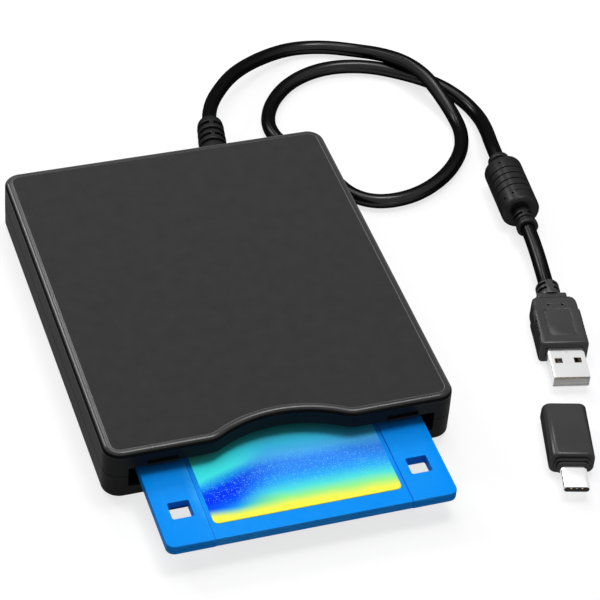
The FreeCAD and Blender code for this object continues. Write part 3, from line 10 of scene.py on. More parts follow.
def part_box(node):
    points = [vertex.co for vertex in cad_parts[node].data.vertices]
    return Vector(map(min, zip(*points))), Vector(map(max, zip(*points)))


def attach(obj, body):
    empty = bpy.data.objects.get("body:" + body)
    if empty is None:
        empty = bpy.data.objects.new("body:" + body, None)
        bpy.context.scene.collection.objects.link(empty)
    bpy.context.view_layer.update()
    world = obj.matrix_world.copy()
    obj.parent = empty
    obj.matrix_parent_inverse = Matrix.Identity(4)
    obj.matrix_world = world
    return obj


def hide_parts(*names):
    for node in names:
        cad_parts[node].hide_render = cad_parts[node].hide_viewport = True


# Lengths are millimetres until a mesh is written; the frame itself is in metres.
mm = 0.001
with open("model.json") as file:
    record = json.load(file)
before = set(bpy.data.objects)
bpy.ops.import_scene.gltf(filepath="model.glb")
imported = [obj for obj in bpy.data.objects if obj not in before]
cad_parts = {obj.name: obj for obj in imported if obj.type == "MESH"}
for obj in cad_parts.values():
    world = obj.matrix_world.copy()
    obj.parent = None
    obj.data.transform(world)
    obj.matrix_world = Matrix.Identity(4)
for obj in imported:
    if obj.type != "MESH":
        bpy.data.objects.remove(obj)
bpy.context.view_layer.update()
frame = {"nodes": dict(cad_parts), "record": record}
scene = bpy.context.scene
slotOf = {part["node"]: part["material_slot"] for part in frame["record"]["subparts"]}
bodyOf = {node: body for body, nodes in frame["record"]["behaviour"]["bodies"].items() for node in nodes}
print("frame loaded:", len(frame["nodes"]), "pieces")


# Camera
view = {
    "target": Vector((0.02914, 0.00425, 0.0)),
    "azimuth": -21.38,
    "elevation": 41.79,
    "distance": 0.83936,
    "roll": 5.055,
    "lens": 154.62,
    "sensor": 36.0,
    "near": 0.01,
}


def addCamera():
    lens = bpy.data.cameras.new("camera")
    lens.lens = view["lens"]
    lens.sensor_width = view["sensor"]
    lens.clip_start = view["near"]
    camera = bpy.data.objects.new("camera", lens)
    scene.collection.objects.link(camera)
    swing, lift = radians(view["azimuth"]), radians(view["elevation"])
    away = Vector((sin(swing) * cos(lift), -cos(swing) * cos(lift), sin(lift)))
    aim = (-away).to_track_quat("-Z", "Y").to_matrix()
    turn = aim @ Matrix.Rotation(radians(view["roll"]), 3, "Z")
    camera.matrix_world = Matrix.Translation(view["target"] + away * view["distance"]) @ turn.to_4x4()
    scene.camera = camera


addCamera()


# Outlines and solids; a solid is a pair of points and faces
beyond = 1.0  # how far a cutting solid reaches past what it cuts


def loft(rings, closed=False):
    # Quads between rings of equal length, capped; closed joins the last ring to the first instead.
    count = len(rings[0])
    verts = [point for ring in rings for point in ring]
    faces = []
    spans = len(rings) if closed else len(rings) - 1
    for r in range(spans):
        here, there = r * count, (r + 1) % len(rings) * count
        for i in range(count):
            j = (i + 1) % count
            faces.append((here + i, here + j, there + j, there + i))
    if not closed:
        faces.append(tuple(reversed(range(count))))
        faces.append(tuple(range(len(verts) - count, len(verts))))
    return verts, faces


def mergeParts(parts):
    verts, faces = [], []
    for partVerts, partFaces in parts:
        offset = len(verts)
        verts += partVerts
        faces += [tuple(i + offset for i in face) for face in partFaces]
    return verts, faces


def span(middle, width):
    return middle - width / 2, middle + width / 2


def ringAt(outline, z):
    return [(x, y, z) for x, y in outline]


def prism(outline, low, high):
    return loft([ringAt(outline, low), ringAt(outline, high)])


def box(xs, ys, zs):
    return prism([(xs[0], ys[0]), (xs[1], ys[0]), (xs[1], ys[1]), (xs[0], ys[1])], *zs)


def arc(centre, radius, start, end, steps):
    # Points of an arc in a plane, angles in degrees.
    turn = [radians(start + (end - start) * i / steps) for i in range(steps + 1)]
    return [(centre[0] + radius * cos(t), centre[1] + radius * sin(t)) for t in turn]


def quarterTurns(steps):
    return [radians(90 * i / steps) for i in range(steps + 1)]


def disc(x, y, radius, low, high, steps=32):
    return prism(arc((x, y), radius, 0, 360 * (steps - 1) / steps, steps - 1), low, high)


def roundedRectangle(width, depth, radius, centre=(0.0, 0.0), steps=6):
    x, y = width / 2 - radius, depth / 2 - radius
    points = []
    for quarter, (sx, sy) in enumerate([(1, 1), (-1, 1), (-1, -1), (1, -1)]):
        corner = (centre[0] + sx * x, centre[1] + sy * y)
        points += arc(corner, radius, 90 * quarter, 90 * quarter + 90, steps)
    return points


def frameGroove(width, depth, radius, line, low, high):
    # A rounded rectangular ring, used to press an outline into a surface.
    outer = roundedRectangle(width, depth, radius)
    inner = roundedRectangle(width - 2 * line, depth - 2 * line, radius - line)
    rings = [ringAt(outer, low), ringAt(outer, high), ringAt(inner, high), ringAt(inner, low)]
    return loft(rings, closed=True)


def lathe(profile, steps=48):
    # A profile of (distance along Y, radius), turned about Y and closed at both ends.
    turns = [2 * pi * i / steps for i in range(steps)]
    return loft([[(radius * sin(t), y, radius * cos(t)) for t in turns] for y, radius in profile])


def latheZ(profile, steps=40):
    verts, faces = lathe(profile, steps)
    return [(x, z, y) for x, y, z in verts], faces


def arcGroove(start, width, inner, outer, first, last, steps=14):
    # A piece of a ring about Y, from one angle to another, to cut a slot in a round piece.
    corners = ((inner, start), (outer, start), (outer, start + width), (inner, start + width))
    turns = [radians(first + (last - first) * i / steps) for i in range(steps + 1)]
    return loft([[(r * sin(t), y, r * cos(t)) for r, y in corners] for t in turns])


def splitGroove(start, width, inner, outer, bridge):
    # A groove round a piece in two halves, with a bridge left between them at either side.
    return [arcGroove(start, width, inner, outer, turn + bridge, turn + 180 - bridge) for turn in (0, 180)]


def shifted(solid, offset):
    return [(x + offset[0], y + offset[1], z + offset[2]) for x, y, z in solid[0]], solid[1]


def onHeading(points, origin, yaw):
    # Points built along Y about an origin, turned to a heading measured from +Y towards +X.
    c, s = cos(radians(yaw)), sin(radians(yaw))
    return [(origin[0] + c * x + s * y, origin[1] - s * x + c * y, origin[2] + z) for x, y, z in points]


# Pieces
weldDistance = 1e-7  # metres


def buildPiece(name, verts, faces, material=None, scale=mm):
    mesh = bpy.data.meshes.new(name)
    mesh.from_pydata([Vector(v) * scale for v in verts], [], faces)
    shape = bmesh.new()
    shape.from_mesh(mesh)
    bmesh.ops.remove_doubles(shape, verts=shape.verts, dist=weldDistance)
    bmesh.ops.recalc_face_normals(shape, faces=shape.faces)
    shape.to_mesh(mesh)
    shape.free()
    if material:
        mesh.materials.append(material)
    piece = bpy.data.objects.new(name, mesh)
    scene.collection.objects.link(piece)
    return piece


def freeze(piece):
    # The evaluated shape becomes the piece's own mesh.
    bpy.context.view_layer.update()
    graph = bpy.context.evaluated_depsgraph_get()
    mesh = bpy.data.meshes.new_from_object(piece.evaluated_get(graph))
    piece.modifiers.clear()
    piece.data = mesh


def cutAway(piece, tool):
    # Takes the tool's shape out of the piece and removes the tool.
    cut = piece.modifiers.new("cut", "BOOLEAN")
    cut.operation = "DIFFERENCE"
    cut.solver = "EXACT"
    cut.object = tool
    freeze(piece)
    bpy.data.objects.remove(tool, do_unlink=True)


def carve(piece, *solids):
    for verts, faces in solids:
        cutAway(piece, buildPiece("tool", verts, faces))


def addBevel(piece, width, segments=2, angle=None):
    # Rounds the edges that are sharper than the angle, or without one those that carry a weight.
    bevel = piece.modifiers.new("bevel", "BEVEL")
    bevel.width = width * mm
    bevel.segments = segments
    bevel.limit_method = "ANGLE" if angle else "WEIGHT"
    bevel.use_clamp_overlap = bool(angle)
    if angle:
        bevel.angle_limit = radians(angle)


def shadeSmooth(piece, angle=32):
    piece.data.shade_smooth()
    piece.data.set_sharp_from_angle(angle=radians(angle))


def soften(piece, width, angle=32, segments=2):
    # Rounded edges where faces meet sharply, then smooth shading between.
    if width:
        addBevel(piece, width, segments, angle)
        freeze(piece)
    shadeSmooth(piece, angle)
    return piece


def bevelNear(piece, width, wanted, angle=40):
    # Rounds only the sharp edges whose middle passes the test, given in millimetres.
    shape = bmesh.new()
    shape.from_mesh(piece.data)
    weights = shape.edges.layers.float.new("bevel_weight_edge")
    for edge in shape.edges:
        if len(edge.link_faces) == 2 and edge.calc_face_angle(0) > radians(angle):
            middle = (edge.verts[0].co + edge.verts[1].co) / 2 / mm
            edge[weights] = 1.0 if wanted(middle) else 0.0
    shape.to_mesh(piece.data)
    shape.free()
    addBevel(piece, width)
    freeze(piece)
    shadeSmooth(piece)
    normals = piece.modifiers.new("normals", "WEIGHTED_NORMAL")
    normals.keep_sharp = True
    freeze(piece)


def joinPieces(name, pieces):
    # One mesh from several, each keeping its own finish.
    with bpy.context.temp_override(active_object=pieces[0], selected_editable_objects=pieces):
        bpy.ops.object.join()
    pieces[0].name = name
    return pieces[0]


def turnInto(piece, seat):
    # From building along Y at the origin to the piece's place and heading.
    x, y, z, yaw = seat
    piece.data.transform(Matrix.Translation((x, y, z)) @ Matrix.Rotation(-radians(yaw), 4, "Z"))


def standFor(piece, node):
    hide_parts(node)
    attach(piece, bodyOf[node])


# Node tools
def feed(tree, node, inputs):
    # Each input gets a value, or a link where another node's socket is given.
    for label, value in inputs.items():
        if isinstance(value, bpy.types.NodeSocket):
            tree.links.new(value, node.inputs[label])
        else:
            node.inputs[label].default_value = value


def addNode(tree, kind, inputs=None, **settings):
    node = tree.nodes.new(kind)
    for setting, value in settings.items():
        setattr(node, setting, value)
    feed(tree, node, inputs or {})
    return node


def addMath(tree, operation, first, second):
    return addNode(tree, "ShaderNodeMath", {0: first, 1: second}, operation=operation).outputs[0]


def addMix(tree, share, first, second, blend="MIX"):
    mix = addNode(tree, "ShaderNodeMix", {0: share, 6: first, 7: second}, data_type="RGBA", blend_type=blend)
    return mix.outputs[2]


def addRange(tree, value, low, high, start=0.0, end=1.0, curve="SMOOTHSTEP"):
    # From start to end, while the value goes from low to high.
    inputs = {"Value": value, "From Min": low, "From Max": high, "To Min": start, "To Max": end}
    return addNode(tree, "ShaderNodeMapRange", inputs, interpolation_type=curve).outputs[0]


def addNoise(tree, place, scale, detail=2.0):
    return addNode(tree, "ShaderNodeTexNoise", {"Vector": place, "Scale": scale, "Detail": detail}).outputs[0]


def objectPlace(tree):
    return addNode(tree, "ShaderNodeTexCoord").outputs["Object"]


def splitPlace(tree, place):
    return addNode(tree, "ShaderNodeSeparateXYZ", {0: place}).outputs


def addRamp(tree, value, stops):
    node = addNode(tree, "ShaderNodeValToRGB", {0: value})
    ramp = node.color_ramp
    while len(ramp.elements) < len(stops):
        ramp.elements.new(0.5)
    for element, (spot, tint) in zip(ramp.elements, stops):
        element.position = spot
        element.color = (*tint, 1)
    return node.outputs[0]


def newGroup(name, kind, inputs, outputs):
    group = bpy.data.node_groups.new(name, kind)
    for label, socketKind, value in inputs:
        socket = group.interface.new_socket(name=label, in_out="INPUT", socket_type=socketKind)
        if value is not None:
            socket.default_value = value
    for label, socketKind in outputs:
        group.interface.new_socket(name=label, in_out="OUTPUT", socket_type=socketKind)
    return group, group.nodes.new("NodeGroupInput").outputs, group.nodes.new("NodeGroupOutput")


def newMaterial(name):
    material = bpy.data.materials.new(name)
    material.use_nodes = True
    return material, material.node_tree, material.node_tree.nodes["Principled BSDF"]


# Finishes
grain = {
    "fineDetail": 3.0,
    "fineShare": 0.6,
    "broadScale": 0.05,
    "broadShare": 0.4,
    "contrast": 4.0,
    "height": 0.00005,
}
edges = {"flat": 0.52, "sharp": 0.62, "patches": 400.0}


def buildSurfaceGrain():
    # Fine moulded or cast grain with a broader unevenness under it.
    group, given, result = newGroup(
        "surfaceGrain", "ShaderNodeTree",
        [("Color", "NodeSocketColor", (0.5, 0.5, 0.5, 1)), ("Tone", "NodeSocketFloat", 0.1),
         ("Roughness", "NodeSocketFloat", 0.5), ("Patch", "NodeSocketFloat", 0.05),
         ("Scale", "NodeSocketFloat", 2500.0), ("Relief", "NodeSocketFloat", 0.1),
         ("Stretch", "NodeSocketVector", (1, 1, 1))],
        [("Color", "NodeSocketColor"), ("Roughness", "NodeSocketFloat"), ("Normal", "NodeSocketVector")])
    math = partial(addMath, group)
    stretched = {"Vector": objectPlace(group), "Scale": given["Stretch"]}
    place = addNode(group, "ShaderNodeMapping", stretched).outputs[0]
    fine = addNoise(group, place, given["Scale"], grain["fineDetail"])
    broad = addNoise(group, place, math("MULTIPLY", given["Scale"], grain["broadScale"]))
    fineShare = math("MULTIPLY", fine, grain["fineShare"])
    both = math("ADD", fineShare, math("MULTIPLY", broad, grain["broadShare"]))
    swing = math("MULTIPLY", math("SUBTRACT", both, 0.5), grain["contrast"])
    share = math("MULTIPLY", math("ADD", swing, 1.0), given["Tone"])
    patch = math("MULTIPLY", math("SUBTRACT", broad, 0.5), given["Patch"])
    bump = addNode(group, "ShaderNodeBump",
                   {"Distance": grain["height"], "Strength": given["Relief"], "Height": fine})
    feed(group, result, {
        "Color": addMix(group, share, given["Color"], (0, 0, 0, 1)),
        "Roughness": math("ADD", given["Roughness"], patch),
        "Normal": bump.outputs[0],
    })
    return group


def buildEdgeWearAndSheen():
    # A touch of a lighter colour on raised edges, broken up so that no line is even: wear on the metal, and a
    # painted highlight on the blue disk.
    group, given, result = newGroup(
        "edgeWearAndSheen", "ShaderNodeTree",
        [("Color", "NodeSocketColor", (0.5, 0.5, 0.5, 1)), ("WornAndSheen", "NodeSocketColor", (0.8, 0.8, 0.8, 1)),
         ("Amount", "NodeSocketFloat", 0.3), ("Scale", "NodeSocketFloat", edges["patches"])],
        [("Color", "NodeSocketColor")])
    raised = addNode(group, "ShaderNodeNewGeometry").outputs["Pointiness"]
    raised = addRange(group, raised, edges["flat"], edges["sharp"], curve="LINEAR")
    broken = addMath(group, "MULTIPLY", raised, addNoise(group, objectPlace(group), given["Scale"]))
    share = addMath(group, "MULTIPLY", broken, given["Amount"])
    feed(group, result, {"Color": addMix(group, share, given["Color"], given["WornAndSheen"])})
    return group


surfaceGrain = buildSurfaceGrain()
edgeWearAndSheen = buildEdgeWearAndSheen()
sideGloss = 0.02  # the gloss left on a face that is turned away


def makeFinish(name, color, roughness, metallic=0.0, specular=0.5, tone=0.1, patch=0.06, scale=2500.0,
               relief=0.1, stretch=(1, 1, 1), wornAndSheenTint=(0.8, 0.8, 0.8), wearAndSheen=0.0, gloss=0.0, glossRoughness=0.2,
               facing=None):
    material, tree, shader = newMaterial(name)
    surface = addNode(tree, "ShaderNodeGroup", {
        "Color": (*color, 1), "Tone": tone, "Roughness": roughness, "Patch": patch, "Scale": scale,
        "Relief": relief, "Stretch": stretch}, node_tree=surfaceGrain).outputs
    tint = surface["Color"]
    if wearAndSheen:
        edge = {"Color": tint, "WornAndSheen": (*wornAndSheenTint, 1), "Amount": wearAndSheen}
        tint = addNode(tree, "ShaderNodeGroup", edge, node_tree=edgeWearAndSheen).outputs["Color"]
    if facing:
        # Gloss that fades where the surface turns away, so that round black pieces keep dark sides.
        turned = addNode(tree, "ShaderNodeLayerWeight").outputs["Facing"]
        gloss = addRange(tree, turned, *facing, gloss, sideGloss)
    feed(tree, shader, {
        "Base Color": tint, "Roughness": surface["Roughness"], "Normal": surface["Normal"],
        "Metallic": metallic, "Specular IOR Level": specular, "Coat Weight": gloss,
        "Coat Roughness": glossRoughness})
    material.diffuse_color = (*color, 1)
    return material


finishes = {
    "case_plastic": makeFinish("caseSatin", (0.0165, 0.0165, 0.017), 0.5, specular=0.0, relief=0.03,
                               scale=3000, gloss=0.14, glossRoughness=0.24),
    "rubber_black": makeFinish("footRubber", (0.022, 0.022, 0.022), 0.85, specular=0.1, tone=0.2, relief=0.3),
    "screw_steel": makeFinish("screwSteel", (0.42, 0.42, 0.43), 0.34, metallic=1.0, scale=5000, relief=0.08),
    "clear_plastic": makeFinish("lightPipe", (0.62, 0.72, 0.66), 0.15, tone=0.04, relief=0.02),
    "led_green": makeFinish("lampLens", (0.10, 0.55, 0.14), 0.2, tone=0.05, relief=0.02),
    "zinc_sheet": makeFinish("zincSheet", (0.52, 0.53, 0.54), 0.38, metallic=1.0, tone=0.16, patch=0.25,
                             scale=900, relief=0.05, wearAndSheen=0.3, wornAndSheenTint=(0.75, 0.75, 0.76)),
    # The lighter blue on the disk's raised edges is a painted highlight.
    "disk_blue": makeFinish("diskBlue", (0.001, 0.285, 0.96), 0.5, specular=0.0, tone=0.03, relief=0.02,
                            scale=3500, wearAndSheen=0.5, wornAndSheenTint=(0.10, 0.55, 1.0), gloss=0.08),
    "liner_fabric": makeFinish("linerFleece", (0.74, 0.74, 0.72), 0.95, specular=0.1, tone=0.16, relief=0.6,
                               scale=4200),
    "media_film": makeFinish("mediaFilm", (0.045, 0.026, 0.02), 0.2, tone=0.08, relief=0.01),
    "hub_steel": makeFinish("hubSteel", (0.56, 0.56, 0.57), 0.3, metallic=1.0, scale=1500, stretch=(6, 1, 1),
                            relief=0.05),
    "shutter_steel": makeFinish("shutterSteel", (0.6, 0.61, 0.63), 0.27, metallic=1.0, scale=1200,
                                stretch=(1, 14, 1), relief=0.06, patch=0.15, wearAndSheen=0.3,
                                wornAndSheenTint=(0.85, 0.85, 0.86)),
    "tab_black": makeFinish("tabPlastic", (0.025, 0.025, 0.028), 0.5, specular=0.2),
    "acetal_black": makeFinish("slidePlastic", (0.02, 0.02, 0.02), 0.45, specular=0.1, relief=0.06,
                               gloss=0.12),
    "board_green": makeFinish("boardLacquer", (0.012, 0.12, 0.05), 0.3, tone=0.35, scale=700, relief=0.08,
                              patch=0.2, gloss=0.3, glossRoughness=0.12),
    "copper": makeFinish("coilCopper", (0.72, 0.34, 0.14), 0.36, metallic=1.0, tone=0.2, scale=1600),
    "bronze": makeFinish("bushBronze", (0.5, 0.32, 0.13), 0.42, metallic=1.0, tone=0.25, relief=0.2),
    "magnet_dark": makeFinish("magnetDark", (0.06, 0.06, 0.064), 0.5, tone=0.2, relief=0.2),
    "ground_steel": makeFinish("groundSteel", (0.62, 0.62, 0.63), 0.22, metallic=1.0, scale=1800,
                               stretch=(1, 8, 1), relief=0.03),
    "motor_steel": makeFinish("motorCan", (0.46, 0.46, 0.48), 0.36, metallic=1.0, scale=1400,
                              stretch=(1, 6, 1), patch=0.2),
    "head_ceramic": makeFinish("headCeramic", (0.22, 0.21, 0.19), 0.25, relief=0.03),
    "chip_black": makeFinish("chipResin", (0.022, 0.022, 0.024), 0.6, specular=0.2, tone=0.15, relief=0.15),
    "header_white": makeFinish("headerNylon", (0.68, 0.66, 0.57), 0.5, tone=0.06),
    "cord_jacket": makeFinish("cordJacket", (0.004, 0.004, 0.0042), 0.5, specular=0.0, relief=0.02,
                              scale=1800, gloss=0.56, glossRoughness=0.22, facing=(0.1, 0.42)),
    "boot_black": makeFinish("bootRubber", (0.029, 0.029, 0.0295), 0.55, specular=0.0, tone=0.12, relief=0.05,
                             scale=2600, wearAndSheen=0.3, wornAndSheenTint=(0.08, 0.08, 0.08), gloss=0.55, glossRoughness=0.26,
                             facing=(0.36, 0.72)),
    "plug_steel": makeFinish("plugSteel", (0.76, 0.76, 0.765), 0.2, metallic=1.0, scale=1500, tone=0.05,
                             stretch=(1, 10, 1), relief=0.02, patch=0.08),
    "plug_tongue_white": makeFinish("tonguePlastic", (0.90, 0.90, 0.88), 0.45, specular=0.2, tone=0.03),
    "contact_gold": makeFinish("contactGold", (0.85, 0.56, 0.19), 0.25, metallic=1.0, tone=0.05),
    "adapterShell": makeFinish("adapterSatin", (0.032, 0.032, 0.0325), 0.5, specular=0.0, relief=0.04,
                               scale=3200, gloss=0.45, glossRoughness=0.22, facing=(0.36, 0.7)),
    "topPanel": makeFinish("panelMatte", (0.037, 0.037, 0.0375), 0.7, specular=0.05, tone=0.13, scale=4200,
                           patch=0.1),
    # The light grey of the groove round the top panel is a painted highlight.
    "panelLineHighlight": makeFinish("panelLineHighlight", (0.13, 0.13, 0.13), 0.5, specular=0.1, gloss=0.3),
    "sleeveRubber": makeFinish("sleeveRubber", (0.016, 0.016, 0.0163), 0.55, specular=0.0, tone=0.12,
                               relief=0.05, scale=2600, wearAndSheen=0.3, wornAndSheenTint=(0.06, 0.06, 0.06), gloss=0.28,
                               glossRoughness=0.32, facing=(0.2, 0.6)),
}


# Stops are shares of the height from one end of the rim to the other.
rim = {
    "heights": (0.0160, 0.0184),
    "gloss": [(0.0, 0.14), (0.22, 0.14), (0.31, 0.45), (0.40, 0.05), (0.72, 0.05), (0.82, 0.62), (1.0, 0.62)],
    # The shade stops darken the rim's colour in a band: painted shade standing in for a dark reflection.
    "shade": [(0.0, 1.0), (0.25, 1.0), (0.42, 0.25), (0.72, 0.25), (0.84, 0.9), (1.0, 0.9)],
}


def polishRimPaintShade(material):
    # The moulded rim's gloss changes with height, and a band of its colour is darkened by painted shade.
    tree = material.node_tree
    shader = tree.nodes["Principled BSDF"]
    rise = addRange(tree, splitPlace(tree, objectPlace(tree))["Z"], *rim["heights"], curve="LINEAR")
    gloss, shade = (addRamp(tree, rise, [(spot, (value,) * 3) for spot, value in rim[key]])
                    for key in ("gloss", "shade"))
    color = shader.inputs["Base Color"].links[0].from_socket
    feed(tree, shader, {"Coat Weight": gloss, "Base Color": addMix(tree, 1.0, color, shade, "MULTIPLY")})


polishRimPaintShade(finishes["case_plastic"])
print("finishes mixed:", len(finishes))


# Cords: their routes in metres, from the relief to the ferrite sleeve and on to the plug.
# A seat is a place and a heading in degrees; a reach is how far its sleeve goes along that heading.
cordRun = {
    "diameter": 0.005,
    "relief": (0.01875, 0.0675, 0.0093, 11.5),
    "reliefReach": 0.0220,
    "ferrite": (0.1140, 0.0330, 0.0066, 5.5),
    "ferriteReach": (0.01705, 0.01785),  # to the rear, to the front
    "plug": (0.1085, -0.01325, 0.0041, 12.0),
    "plugReach": 0.0022,
    "straight": (0.008, 0.0086),  # on leaving, on entering
    "route": [
        (0.0346, 0.1104, 0.0089), (0.0436, 0.1192, 0.0074), (0.0559, 0.1276, 0.0048),
        (0.0677, 0.1325, 0.0027), (0.0797, 0.1309, 0.0025), (0.0896, 0.1248, 0.0036),
        (0.0965, 0.1170, 0.0064), (0.1022, 0.1086, 0.0083), (0.1066, 0.0995, 0.0083),
        (0.1095, 0.0905, 0.0054), (0.1114, 0.0809, 0.0028), (0.1108, 0.0713, 0.0025),
        (0.1064, 0.0607, 0.0025), (0.0967, 0.0501, 0.0025), (0.0840, 0.0430, 0.0025),
        (0.0712, 0.0419, 0.0025), (0.0629, 0.0464, 0.0025), (0.0587, 0.0552, 0.0025),
        (0.0587, 0.0648, 0.0025), (0.0554, 0.0720, 0.0025), (0.0487, 0.0782, 0.0025),
        (0.0456, 0.0848, 0.0025), (0.0457, 0.0938, 0.0025), (0.0513, 0.1048, 0.0025),
        (0.0617, 0.1144, 0.0025), (0.0756, 0.1190, 0.0025), (0.0903, 0.1167, 0.0025),
        (0.1023, 0.1094, 0.0025), (0.1122, 0.1007, 0.0025), (0.1180, 0.0896, 0.0025),
        (0.1202, 0.0788, 0.0026), (0.1188, 0.0680, 0.0044)],
    "roundness": 8,
    "order": 3,
    "steps": 10,
}
cordRadius = cordRun["diameter"] / mm / 2


def alongYaw(x, y, z, yaw, distance):
    return Vector((x + distance * sin(radians(yaw)), y + distance * cos(radians(yaw)), z))


def layCord(name, points):
    curve = bpy.data.curves.new(name, "CURVE")
    curve.dimensions = "3D"
    curve.bevel_depth = 1.0  # the points carry the radius
    curve.bevel_resolution = cordRun["roundness"]
    curve.use_fill_caps = True
    spline = curve.splines.new("NURBS")
    spline.points.add(len(points) - 1)
    for point, place in zip(spline.points, points):
        point.co = (*place, 1.0)
        point.radius = cordRun["diameter"] / 2
    spline.order_u = cordRun["order"]
    spline.use_endpoint_u = True
    spline.resolution_u = cordRun["steps"]
    curve.materials.append(finishes["cord_jacket"])
    cord = bpy.data.objects.new(name, curve)
    scene.collection.objects.link(cord)
    return cord


def cordLength(cord):
    # The length of the centreline, measured on the drawn curve.
    bevel, cord.data.bevel_depth = cord.data.bevel_depth, 0.0
    bpy.context.view_layer.update()
    line = bpy.data.meshes.new_from_object(cord.evaluated_get(bpy.context.evaluated_depsgraph_get()))
    spots = [v.co for v in line.vertices]
    cord.data.bevel_depth = bevel
    return round(sum((b - a).length for a, b in zip(spots, spots[1:])), 4)


def addCords():
    # Each cord leaves and enters its sleeves straight, with a point ahead of either.
    reliefSeat, ferriteSeat, plugSeat = (cordRun[key] for key in ("relief", "ferrite", "plug"))
    rearReach, frontReach = cordRun["ferriteReach"]
    straight, straightIn = cordRun["straight"]
    leaving = alongYaw(*reliefSeat, cordRun["reliefReach"])
    rear = alongYaw(*ferriteSeat, rearReach)
    front = alongYaw(*ferriteSeat, -frontReach)
    seated = alongYaw(*plugSeat, -cordRun["plugReach"])
    route = [Vector(point) for point in cordRun["route"]]
    main = layCord("mainCord", [leaving, alongYaw(*leaving, reliefSeat[3], straight)] + route
                   + [alongYaw(*rear, ferriteSeat[3], straightIn), rear])
    lead = layCord("plugCord", [front, alongYaw(*front, ferriteSeat[3], -straight),
                                alongYaw(*seated, plugSeat[3], straight), seated])
    for cord, node in ((main, "cord_to_ferrite"), (lead, "cord_to_plug")):
        standFor(cord, node)
        print(cord.name, "length", cordLength(cord))
    return main, lead, leaving, front


mainCord, plugCord, cordExit, plugCordExit = addCords()


# Case covers
case = {
    "halfWidth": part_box("top_cover")[1].x / mm,
    "halfLength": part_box("top_cover")[1].y / mm,
    "foot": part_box("bottom_cover")[0].z / mm,
    "parting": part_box("top_cover")[0].z / mm,
    "top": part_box("top_cover")[1].z / mm,
    "corner": 5.5,
    "wall": 1.6,
    "rim": 1.8,
    "base": 0.9,
    "draft": 0.08,
    "seam": (0.16, 0.25),  # depth, height
    "upperLap": (0.8, 1.3),  # depth, height
    "lowerLap": (0.9, 1.2),
    "scoop": 38.4,
    "scoopDepth": 6.3,
    "shoulder": 9.0,
    "steps": (10, 7, 30),  # on a corner, on a shoulder, in the scoop
    "edgeSteps": (9, 6),  # round the rim, round the base
    "line": (2.4, 0.24, 0.11, 0.04),  # inset, width, depth, slope
    "slot": (96.4, 5.0, 12.4, 0.5),  # width, low, high, corner
    "notch": (37.8, 9.6, 0.5, 1.6, 1.3, 0.45),  # offset, width, above the slot, height, depth, corner
    "lip": (9.4, 0.55, 0.3, 0.24, 0.02),  # width, drop, sunk in the cover, edge, behind the front
    "opening": (9.0, 50.0, 2.0, 15.5),  # depth, half width, low and high
    "openingEdge": 0.22,
    "nearFoot": 0.05,
    "screws": [(39.0, -37.5), (39.0, 52.0), (-39.0, -37.5), (-39.0, 52.0)],
    "screwSeat": (2.0, 1.0, 1.1),  # head radius, head depth, hole radius
    "feet": [(44.0, 57.0), (44.0, -57.0), (-44.0, 57.0), (-44.0, -57.0)],
    "footSeat": (4.5, 0.5),  # radius, depth
    "cordHole": (18.75, 3.6),  # x, radius
    "button": (42.0, 9.0, 2.45, 0.6, 0.3),  # x, width, low, reach into the slot, corner
    "lamp": (-42.0, 3.7, 0.96),  # x, z, radius
}
caseFront = -case["halfLength"]


def casePlan(inset):
    # The plan of the case moved inwards, with as many points at any inset.
    side, end = case["halfWidth"] - case["corner"], case["halfLength"] - case["corner"]
    radius = case["corner"] - inset
    drop = case["halfLength"] + case["scoop"] - case["scoopDepth"]
    shoulderY = case["shoulder"] - case["halfLength"]
    reach = case["scoop"] + case["shoulder"]
    shoulderX = sqrt(reach ** 2 - (shoulderY + drop) ** 2)
    lean = atan2(shoulderX, shoulderY + drop) * 180 / pi
    bend, hollow = case["shoulder"] - inset, case["scoop"] + inset
    cornerSteps, shoulderSteps, scoopSteps = case["steps"]
    points = arc((-side, -end), radius, 180, 270, cornerSteps)
    points += arc((-shoulderX, shoulderY), bend, -90, lean - 90, shoulderSteps)
    points += arc((0, -drop), hollow, 90 + lean, 90 - lean, scoopSteps)[1:-1]
    points += arc((shoulderX, shoulderY), bend, -90 - lean, -90, shoulderSteps)
    points += arc((side, -end), radius, -90, 0, cornerSteps)
    points += arc((side, end), radius, 0, 90, cornerSteps)
    points += arc((-side, end), radius, 90, 180, cornerSteps)
    return points


def caseRings(profile):
    return [ringAt(casePlan(inset), z) for inset, z in profile]


def quarter(radius, steps, across, upward):
    # (inset, height) steps round a rim of a cover, from the side to the face.
    return [(across + radius * (1 - cos(t)), upward + radius * sin(t)) for t in quarterTurns(steps)]


def frontTool(centre, width, low, high, radius, deep):
    # A rounded opening cut into the front face.
    outline = roundedRectangle(width, high - low, radius, (centre, (low + high) / 2), steps=4)
    return loft([[(x, y, z) for x, z in outline] for y in (caseFront - beyond, caseFront + deep)])


def slotTool():
    width, low, high, corner = case["slot"]
    return frontTool(0, width, low, high, corner, case["scoopDepth"] + case["wall"] + beyond)


def notchTools():
    offset, width, above, tall, deep, corner = case["notch"]
    low = case["slot"][2] + above
    return [frontTool(side * offset, width, low, low + tall, corner, deep) for side in (-1, 1)]


def cordHoleTool():
    x, radius = case["cordHole"]
    rear = case["halfLength"]
    hole = lathe([(rear - case["wall"] - beyond, radius), (rear + beyond, radius)])
    return shifted(hole, (x, 0, case["parting"]))


def nearOpening(spot):
    deep, wide, low, high = case["opening"]
    return spot.y < caseFront + deep and abs(spot.x) < wide and low < spot.z < high


def buildLip(side):
    # A rounded lip under a notch, which hangs a little into the slot.
    wide, drop, sunk, edge, setBack = case["lip"]
    slotTop = case["slot"][2]
    lip = box(span(side * case["notch"][0], wide), (caseFront + setBack, caseFront + case["wall"]),
              (slotTop - drop, slotTop + sunk))
    return soften(buildPiece("lip", *lip, finishes["case_plastic"]), edge, segments=3)


